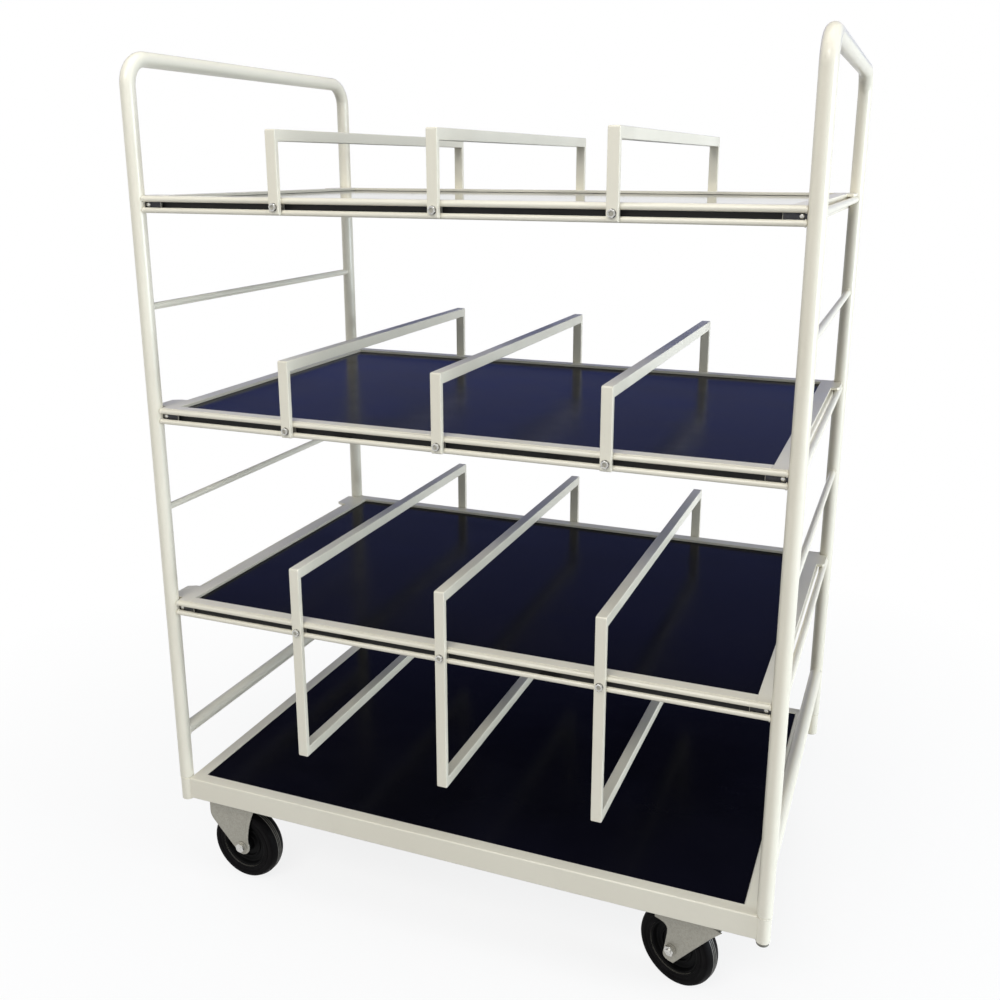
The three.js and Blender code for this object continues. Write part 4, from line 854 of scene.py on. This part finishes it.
# Edges of the narrow and the wide leg of a fork as height and X from the swivel axis:
# the leading edge, then the trailing one
LEGS = {
    -1: (boss(-1) + bow((126.7, -34.1), (135.3, -42.5), (147.3, -42.5)) + [(CROWN_Z, -42.5)],
         boss(1) + bow((92.9, 54.0), (130.9, 54.0), (172.9, 73.0), 16) + [(CROWN_Z, 73.0)]),
    1: ([(52.0, 32.0), (146.0, -43.0), (159.0, -55.0), (174.0, -69.0), (CROWN_Z, -69.0)],
        [(52.0, 42.0), (53.4, 50.3), (57.0, 55.0), (61.7, 56.4), (109.0, 49.1), (119.0, 48.7),
         (125.0, 51.5), (129.0, 57.4), (130.9, 67.7), (131.0, 78.0), (CROWN_Z, 78.0)]),
}


def edge_at(z, points):
    """X of an edge at a height."""
    for (z0, x0), (z1, x1) in zip(points, points[1:]):
        if z <= z1:
            return x0 + (x1 - x0) * max(0.0, z - z0) / (z1 - z0)
    return points[-1][1]


def leg_row(side, z):
    """Points across a leg at a height: X, and how deep dent and tilt, crease and rounded rim are there."""
    edges = LEGS[side if z < BEND_Z else -1]
    x0, x1 = edge_at(z, edges[0]), edge_at(z, edges[1])
    rise = max(0.0, min(1.0, (z - DENT_Z) / DENT_RISE))
    crease_x = CREASE_X + (z - CREASE_Z) * CREASE_SLOPE
    row = []
    for k in range(LEG_COLUMNS + 1):
        share = (1 - math.cos(math.pi * k / LEG_COLUMNS)) / 2 * 0.35 + k / LEG_COLUMNS * 0.65
        x = x0 + (x1 - x0) * share
        sunk = DENT_DEPTH * math.exp(-((x - DENT_X) / DENT_WIDTH) ** 2) * rise * rise * (3 - 2 * rise)
        cut = 0.0
        if side < 0 and z > CREASE_Z:
            strength = min(1.0, (z - CREASE_Z) / CREASE_RISE)
            sunk += CREASE_TILT * max(0.0, x - crease_x) * strength
            cut = CREASE_DEPTH * math.exp(-((x - crease_x) / CREASE_WIDTH) ** 2) * strength
        rim = RIM_DEPTH * max(0.0, 1 - min(x - x0, x1 - x) / RIM_WIDTH) ** 2
        row.append((x, sunk, cut, rim))
    return row


def fork(bm):
    """Two pressed legs bent into a crown, with its end walls and the lower half of the ball race."""
    x0, x1 = LEGS[-1][0][-1][1], LEGS[-1][1][-1][1]
    across = [x0 + (x1 - x0) * k / LEG_COLUMNS for k in range(LEG_COLUMNS + 1)]
    for side in (-1, 1):
        foot = LEGS[side][0][0][0] + 0.05
        heights = {foot + (BEND_Z - foot) * k / LEG_ROWS for k in range(LEG_ROWS + 1)}
        heights |= {foot + 6 * (1 - math.cos(math.pi / 2 * k / 8)) for k in range(9)}
        heights |= {z for edge in LEGS[side] for z, _ in edge if foot < z < BEND_Z}
        outer, inner = [], []
        for z in sorted(heights):
            row = leg_row(side, z)
            outer.append([Vector((x, side * (LEG_FACE - sunk - cut - rim), z)) for x, sunk, cut, rim in row])
            inner.append([Vector((x, side * (LEG_BACK - min(sunk, 2.4) + rim * 0.4), z))
                          for x, sunk, _, rim in row])
        for k in range(1, 6):
            turn = math.pi / 2 * k / 5
            y, z = side * (LEG_BEND_Y + CROWN_BEND * math.cos(turn)), BEND_Z + CROWN_BEND * math.sin(turn)
            outer.append([Vector((x, y, z)) for x in across])
        for k in range(1, 4):
            z = BEND_Z + (CROWN_LOW - BEND_Z) * k / 3
            inner.append([Vector((x, side * LEG_BACK, z)) for x in across])
        outer.append([Vector((x, side * LEG_TOP_Y, CROWN_Z)) for x in across])
        inner.append([Vector((x, side * LEG_TOP_Y, CROWN_LOW)) for x in across])
        shell(bm, outer, inner)
    crown = [(x0, CROWN_LOW), (x0, CROWN_Z - 1.5), (x0 + 1.5, CROWN_Z), (x1 - 1, CROWN_Z),
             (x1, CROWN_Z - 1.0), (x1 - 0.5, CROWN_Z - 6), (x1 - 6.3, CROWN_LOW)]
    plate(bm, crown, "y", -21.6, 21.6, 0)
    wall_y, wall_z = LEG_BACK + 0.1, CROWN_Z - 18
    front = [(x0, wall_z), (x0, CROWN_LOW + 1), (x0 + 3, CROWN_LOW + 1), (x0 + 3, wall_z)]
    plate(bm, front, "y", -wall_y, wall_y, 0.5)
    back = [(x1 - 12.7, wall_z), (x1 - 10.1, wall_z), (x1 - 2, CROWN_LOW - 0.5), (x1 - 6.3, CROWN_LOW + 1)]
    plate(bm, back, "y", -wall_y, wall_y, 0.4)
    race = [(7.4, CROWN_LOW + 0.2), (33, CROWN_LOW + 0.2), (35.5, CROWN_Z + 0.2), (37.2, CROWN_Z + 1.0),
            (38, CROWN_Z + 2.2), (37.5, CROWN_Z + 3.5), (36.2, CROWN_Z + 4.0), (33.5, CROWN_Z + 3.2),
            (30, CROWN_Z + 4.0), (7.4, CROWN_Z + 4.0)]
    lathe(bm, race, ORIGIN, AXIS_Z, 64)


def shell(bm, outer, inner):
    """Two grids of points with the same columns, joined round their rims."""
    def grid(rows):
        verts = [[bm.verts.new(p) for p in row] for row in rows]
        for a, b in zip(verts, verts[1:]):
            for i in range(len(a) - 1):
                bm.faces.new((a[i], a[i + 1], b[i + 1], b[i]))
        return verts

    a, b = grid(outer), grid(inner)
    for i in range(len(a[0]) - 1):
        for end in (0, -1):
            bm.faces.new((a[end][i], a[end][i + 1], b[end][i + 1], b[end][i]))
    for column in (0, -1):
        stitch(bm, [row[column] for row in a], [row[column] for row in b])


def stitch(bm, left, right):
    """Faces between two lines of vertices that needn't have the same count."""
    i = j = 0
    last_left, last_right = len(left) - 1, len(right) - 1
    while i < last_left or j < last_right:
        step_left = (i + 1) / last_left if i < last_left else math.inf
        step_right = (j + 1) / last_right if j < last_right else math.inf
        if step_left <= step_right:
            bm.faces.new((left[i], left[i + 1], right[j]))
            i += 1
        else:
            bm.faces.new((left[i], right[j + 1], right[j]))
            j += 1


def castor_plate(name, place):
    """Top plate with the upper half of the ball race, kingpin and bolts."""
    bm = bmesh.new()
    plate(bm, rounded(PLATE_X, PLATE_Y, PLATE_CORNER_R, 6), "z", PLATE_Z0, PLATE_Z1)
    race = [(0, 192.5), (34.2, 192.5), (35, 191.5), (35, 188.5), (34, 186.0), (32.3, 184.2), (31, 183.2),
            (0, 183.2)]
    lathe(bm, race, ORIGIN, AXIS_Z, 64)
    rod(bm, (0, 0, KINGPIN_Z0), (0, 0, KINGPIN_Z1), KINGPIN_R, 32, 1.0, 1)
    down = (0, 0, -1)
    hexagon_nut(bm, ORIGIN, down, KINGPIN_FLATS, -173.9, -166.9, 1)
    for px in (-PLATE_BOLT_X, PLATE_BOLT_X):
        for py in (-PLATE_BOLT_Y, PLATE_BOLT_Y):
            hexagon_nut(bm, (px, py, 0), down, PLATE_BOLT_FLATS, -191.3, -187.2, 1)
    make(name + "_top_plate", bm, [ZINC, BRIGHT], name + "_castor_plate", 32, place)


# Half sections as radius and distance from the middle plane
TREAD_HALF = [(80, 1.1), (79.2, 1.4), (79.2, 2.7), (80, 3.0), (80, 5.6), (79.7, 7.6), (79.2, 9.4)]
TYRE_SIDE = [(78.4, 12.0), (77.3, 14.5), (75.8, 17.6), (74.2, 19.4), (72.0, 20.0), (66.4, 20.0), (65.0, 19.2),
             (64.2, 18.5), (61.2, 18.5), (60.6, 19.1), (58.4, 19.1), (57.8, 18.5), (53.2, 18.5)]
HUB_HALF = [(6.5, 23), (16.5, 23), (18, 21.5), (18.6, 8.0), (20, 6.4), (23, 6.0), (30.6, 6.0), (31.8, 9.0),
            (33.8, 9.2), (35.4, 7.0), (43.5, 6.4), (46.0, 8.0), (48.0, 13.0), (49.4, 16.0), (50.6, 16.8),
            (51.8, 16.8), (52.3, 16.3)]


def tyre(name, place):
    bm = bmesh.new()
    half = TREAD_HALF + TYRE_SIDE
    lathe(bm, [(r, -h) for r, h in reversed(half)] + half, ORIGIN, AXIS_Y, 96)
    for face in bm.faces:
        off = abs(face.calc_center_median().y)
        if off < TREAD_HALF_W and not GROOVE_Y0 < off < GROOVE_Y1:
            face.material_index = 1
    make(name + "_moulded_tyre", bm, [RUBBER, TREAD], name + "_castor_tyre", 40, place)


def hub(name, place):
    bm = bmesh.new()
    lathe(bm, HUB_HALF + [(r, -h) for r, h in reversed(HUB_HALF)], ORIGIN, AXIS_Y, 72)
    make(name + "_wheel_centre", bm, [HUB], name + "_castor_hub", 35, place)


def axle(name, place):
    bm = bmesh.new()
    head = AXLE_WASHER_Y
    lathe(bm, [(0, -30), (AXLE_R, -30), (AXLE_R, 37.4), (5.2, 38.5), (0, 38.6)], ORIGIN, AXIS_Y, 40)
    washer = [(5.5, head), (11.6, head), (11.9, head + 0.4), (11.6, head + 1.4), (5.5, head + 1.4)]
    for side in (-1, 1):
        lathe(bm, washer, ORIGIN, (0, side, 0), 48, 1)
        hexagon_nut(bm, ORIGIN, (0, side, 0), AXLE_FLATS, head + 1.3, head + AXLE_HEAD)
    make(name + "_axle_bolt", bm, [BRIGHT, ZINC], name + "_castor_axle", 32, place)


def castor(name, x, y, heading):
    fixed = Matrix.Translation((x, y, 0))
    swivel = fixed @ Matrix.Rotation(math.radians(heading), 4, "Z")
    wheel = swivel @ Matrix.Translation((TRAIL, 0, AXLE_Z))
    castor_plate(name, fixed)
    bm = bmesh.new()
    fork(bm)
    make(name + "_pressed_fork", bm, [ZINC], name + "_castor_fork", 42, swivel)
    tyre(name, wheel)
    hub(name, wheel)
    axle(name, wheel)


# The rack
end_frame("left_end_frame", -HALF_X)
end_frame("right_end_frame", HALF_X)
base_frame()
board("base_board", "base_panel", DECK_HALF_X, DECK_HALF_Y, DECK_Z0, DECK_Z1)
stub_plug()
for level, rod_z in RODS.items():
    shelf_frame(level, rod_z)
    board(level + "_shelf_board", level + "_shelf_panel", SHELF_HALF_X, SHELF_HALF_Y,
          rod_z - SHELF_LOW, rod_z - SHELF_HIGH)
    for column, x in COLUMNS.items():
        divider(level, column, rod_z, x)
        for side in (-1, 1):
            clamp(level, column, rod_z, x, side)
for name, (x, y, heading) in CASTORS.items():
    castor(name, x, y, heading)


# Camera, light, floor
CAMERA_PLACE = (0.76976, -2.03326, 1.50477)
CAMERA_TURN = (1.81293, 0.34324, -0.26017)
SENSOR, FOCAL_SHARE, SHIFT_X, SHIFT_Y = 36, 1.07382, -0.00692, -0.04279
WHITE = (1, 1, 1, 1)

# What shiny surfaces mirror from behind the rack, from the horizon up
MIRRORED = (
    (0.07, (1, 1, 1)), (0.11, (0.09, 0.12, 0.42)), (0.21, (0.09, 0.12, 0.42)), (0.28, (0.24, 0.27, 0.56)),
    (0.35, (0.18, 0.21, 0.56)), (0.42, (0.14, 0.15, 0.46)), (0.5, (0.02, 0.02, 0.05)),
    (0.72, (0.02, 0.02, 0.05)), (0.95, (1, 1, 1)),
)

# Place, target, size, watts and tint
LAMPS = {
    "top_softbox": ((0.4, -0.7, 4.5), (0, 0, 1.0), (2.8, 2.2), 42, (1.0, 0.985, 0.95)),
    "front_softbox": ((-0.1, -4.5, 4.6), (0, -0.3, 1.1), (3.2, 1.8), 132, (1.0, 0.99, 0.96)),
    "side_softbox": ((7.5, -0.4, 0.9), (0, 0, 0.8), (3.2, 3.2), 575, (0.82, 0.91, 1.0)),
}


def add_camera(scene):
    """The photograph's camera, with its turn given as a rotation vector."""
    turn = Vector(CAMERA_TURN)
    to_camera = Matrix.Rotation(turn.length, 3, turn.normalized())
    axes = to_camera.transposed() @ Matrix(((1, 0, 0), (0, -1, 0), (0, 0, -1)))
    camera = bpy.data.objects.new("camera", bpy.data.cameras.new("camera"))
    camera.data.sensor_fit = "HORIZONTAL"
    camera.data.sensor_width = SENSOR
    camera.data.lens = SENSOR * FOCAL_SHARE
    camera.data.shift_x = SHIFT_X
    camera.data.shift_y = SHIFT_Y
    camera.data.clip_start = 0.05
    camera.matrix_world = Matrix.Translation(CAMERA_PLACE) @ axes.to_4x4()
    scene.collection.objects.link(camera)
    scene.camera = camera


def add_world(scene):
    """White to the camera, soft grey as light, and coloured bands in what mirrors the back."""
    world = bpy.data.worlds.new("studio")
    world.use_nodes = True
    tree = world.node_tree
    tree.nodes.clear()
    path = add_node(tree, "ShaderNodeLightPath").outputs
    coords = add_node(tree, "ShaderNodeTexCoord").outputs["Generated"]
    way = add_node(tree, "ShaderNodeSeparateXYZ", {0: coords}).outputs
    behind = add_node(tree, "ShaderNodeMapRange", {"Value": way["Y"], "From Min": -0.1, "From Max": 0.35})
    bands = add_node(tree, "ShaderNodeValToRGB", {"Fac": way["Z"]})
    elements = bands.color_ramp.elements
    for k, (place, tone) in enumerate(MIRRORED):
        stop = elements[k] if k < 2 else elements.new(place)
        stop.position = place
        stop.color = (*tone, 1)
    mirror = add_mix(tree, behind.outputs[0], WHITE, bands.outputs["Color"])
    soft = add_mix(tree, path["Is Glossy Ray"], (0.46, 0.48, 0.51, 1), mirror)
    shown = add_node(tree, "ShaderNodeMath", {0: path["Is Camera Ray"], 1: path["Is Transmission Ray"]},
                     operation="MAXIMUM")
    sky = add_mix(tree, shown.outputs[0], soft, WHITE)
    back = add_node(tree, "ShaderNodeBackground", {"Color": sky, "Strength": 1.0})
    add_node(tree, "ShaderNodeOutputWorld", {"Surface": back.outputs[0]})
    scene.world = world


def add_lamp(scene, name, place, target, size, energy, tint):
    light = bpy.data.lights.new(name, "AREA")
    light.shape = "RECTANGLE"
    light.size, light.size_y = size
    light.energy = energy
    light.color = tint
    obj = bpy.data.objects.new(name, light)
    obj.location = place
    obj.rotation_euler = (Vector(target) - Vector(place)).to_track_quat("-Z", "Y").to_euler()
    scene.collection.objects.link(obj)


def add_floor(scene):
    """A white floor that keeps the shadow near the rack, fades to white and lights the rack only softly."""
    bm = bmesh.new()
    bmesh.ops.create_circle(bm, cap_ends=True, segments=96, radius=14)
    mesh = bpy.data.meshes.new("studio_floor")
    bm.to_mesh(mesh)
    bm.free()
    floor = bpy.data.objects.new("studio_floor", mesh)
    floor.location.z = -0.0006
    scene.collection.objects.link(floor)
    m = Nodes("studio_floor_white", Metallic=0.0, Roughness=0.9, Specular_IOR_Level=0.1)
    path = m.node("ShaderNodeLightPath").outputs
    shade = m.ramp(m.noise(1.4, 2.0), [(0.3, (0.93, 0.93, 0.93)), (0.7, (0.95, 0.95, 0.95))])
    m.link(m.mix(path["Is Diffuse Ray"], shade, (0.42, 0.42, 0.43, 1)), "Base Color")
    seen = m.calc("MAXIMUM", path["Is Camera Ray"], path["Is Glossy Ray"])
    mesh.materials.append(m.material)
    far = m.node("ShaderNodeVectorMath", {0: m.coords}, operation="LENGTH").outputs["Value"]
    fade = m.grey(far, 0.84, 1.0, 0.9, 2.0)
    white = m.node("ShaderNodeEmission", {"Color": WHITE, "Strength": 1.0}).outputs[0]
    factor = m.calc("MULTIPLY", fade, seen)
    blend = m.node("ShaderNodeMixShader", {0: factor, 1: m.shader.outputs[0], 2: white})
    m.tree.links.new(blend.outputs[0], m.tree.nodes["Material Output"].inputs["Surface"])


scene = bpy.context.scene
scene.view_settings.view_transform = "Standard"
add_camera(scene)
add_world(scene)
for name, values in LAMPS.items():
    add_lamp(scene, name, *values)
add_floor(scene)
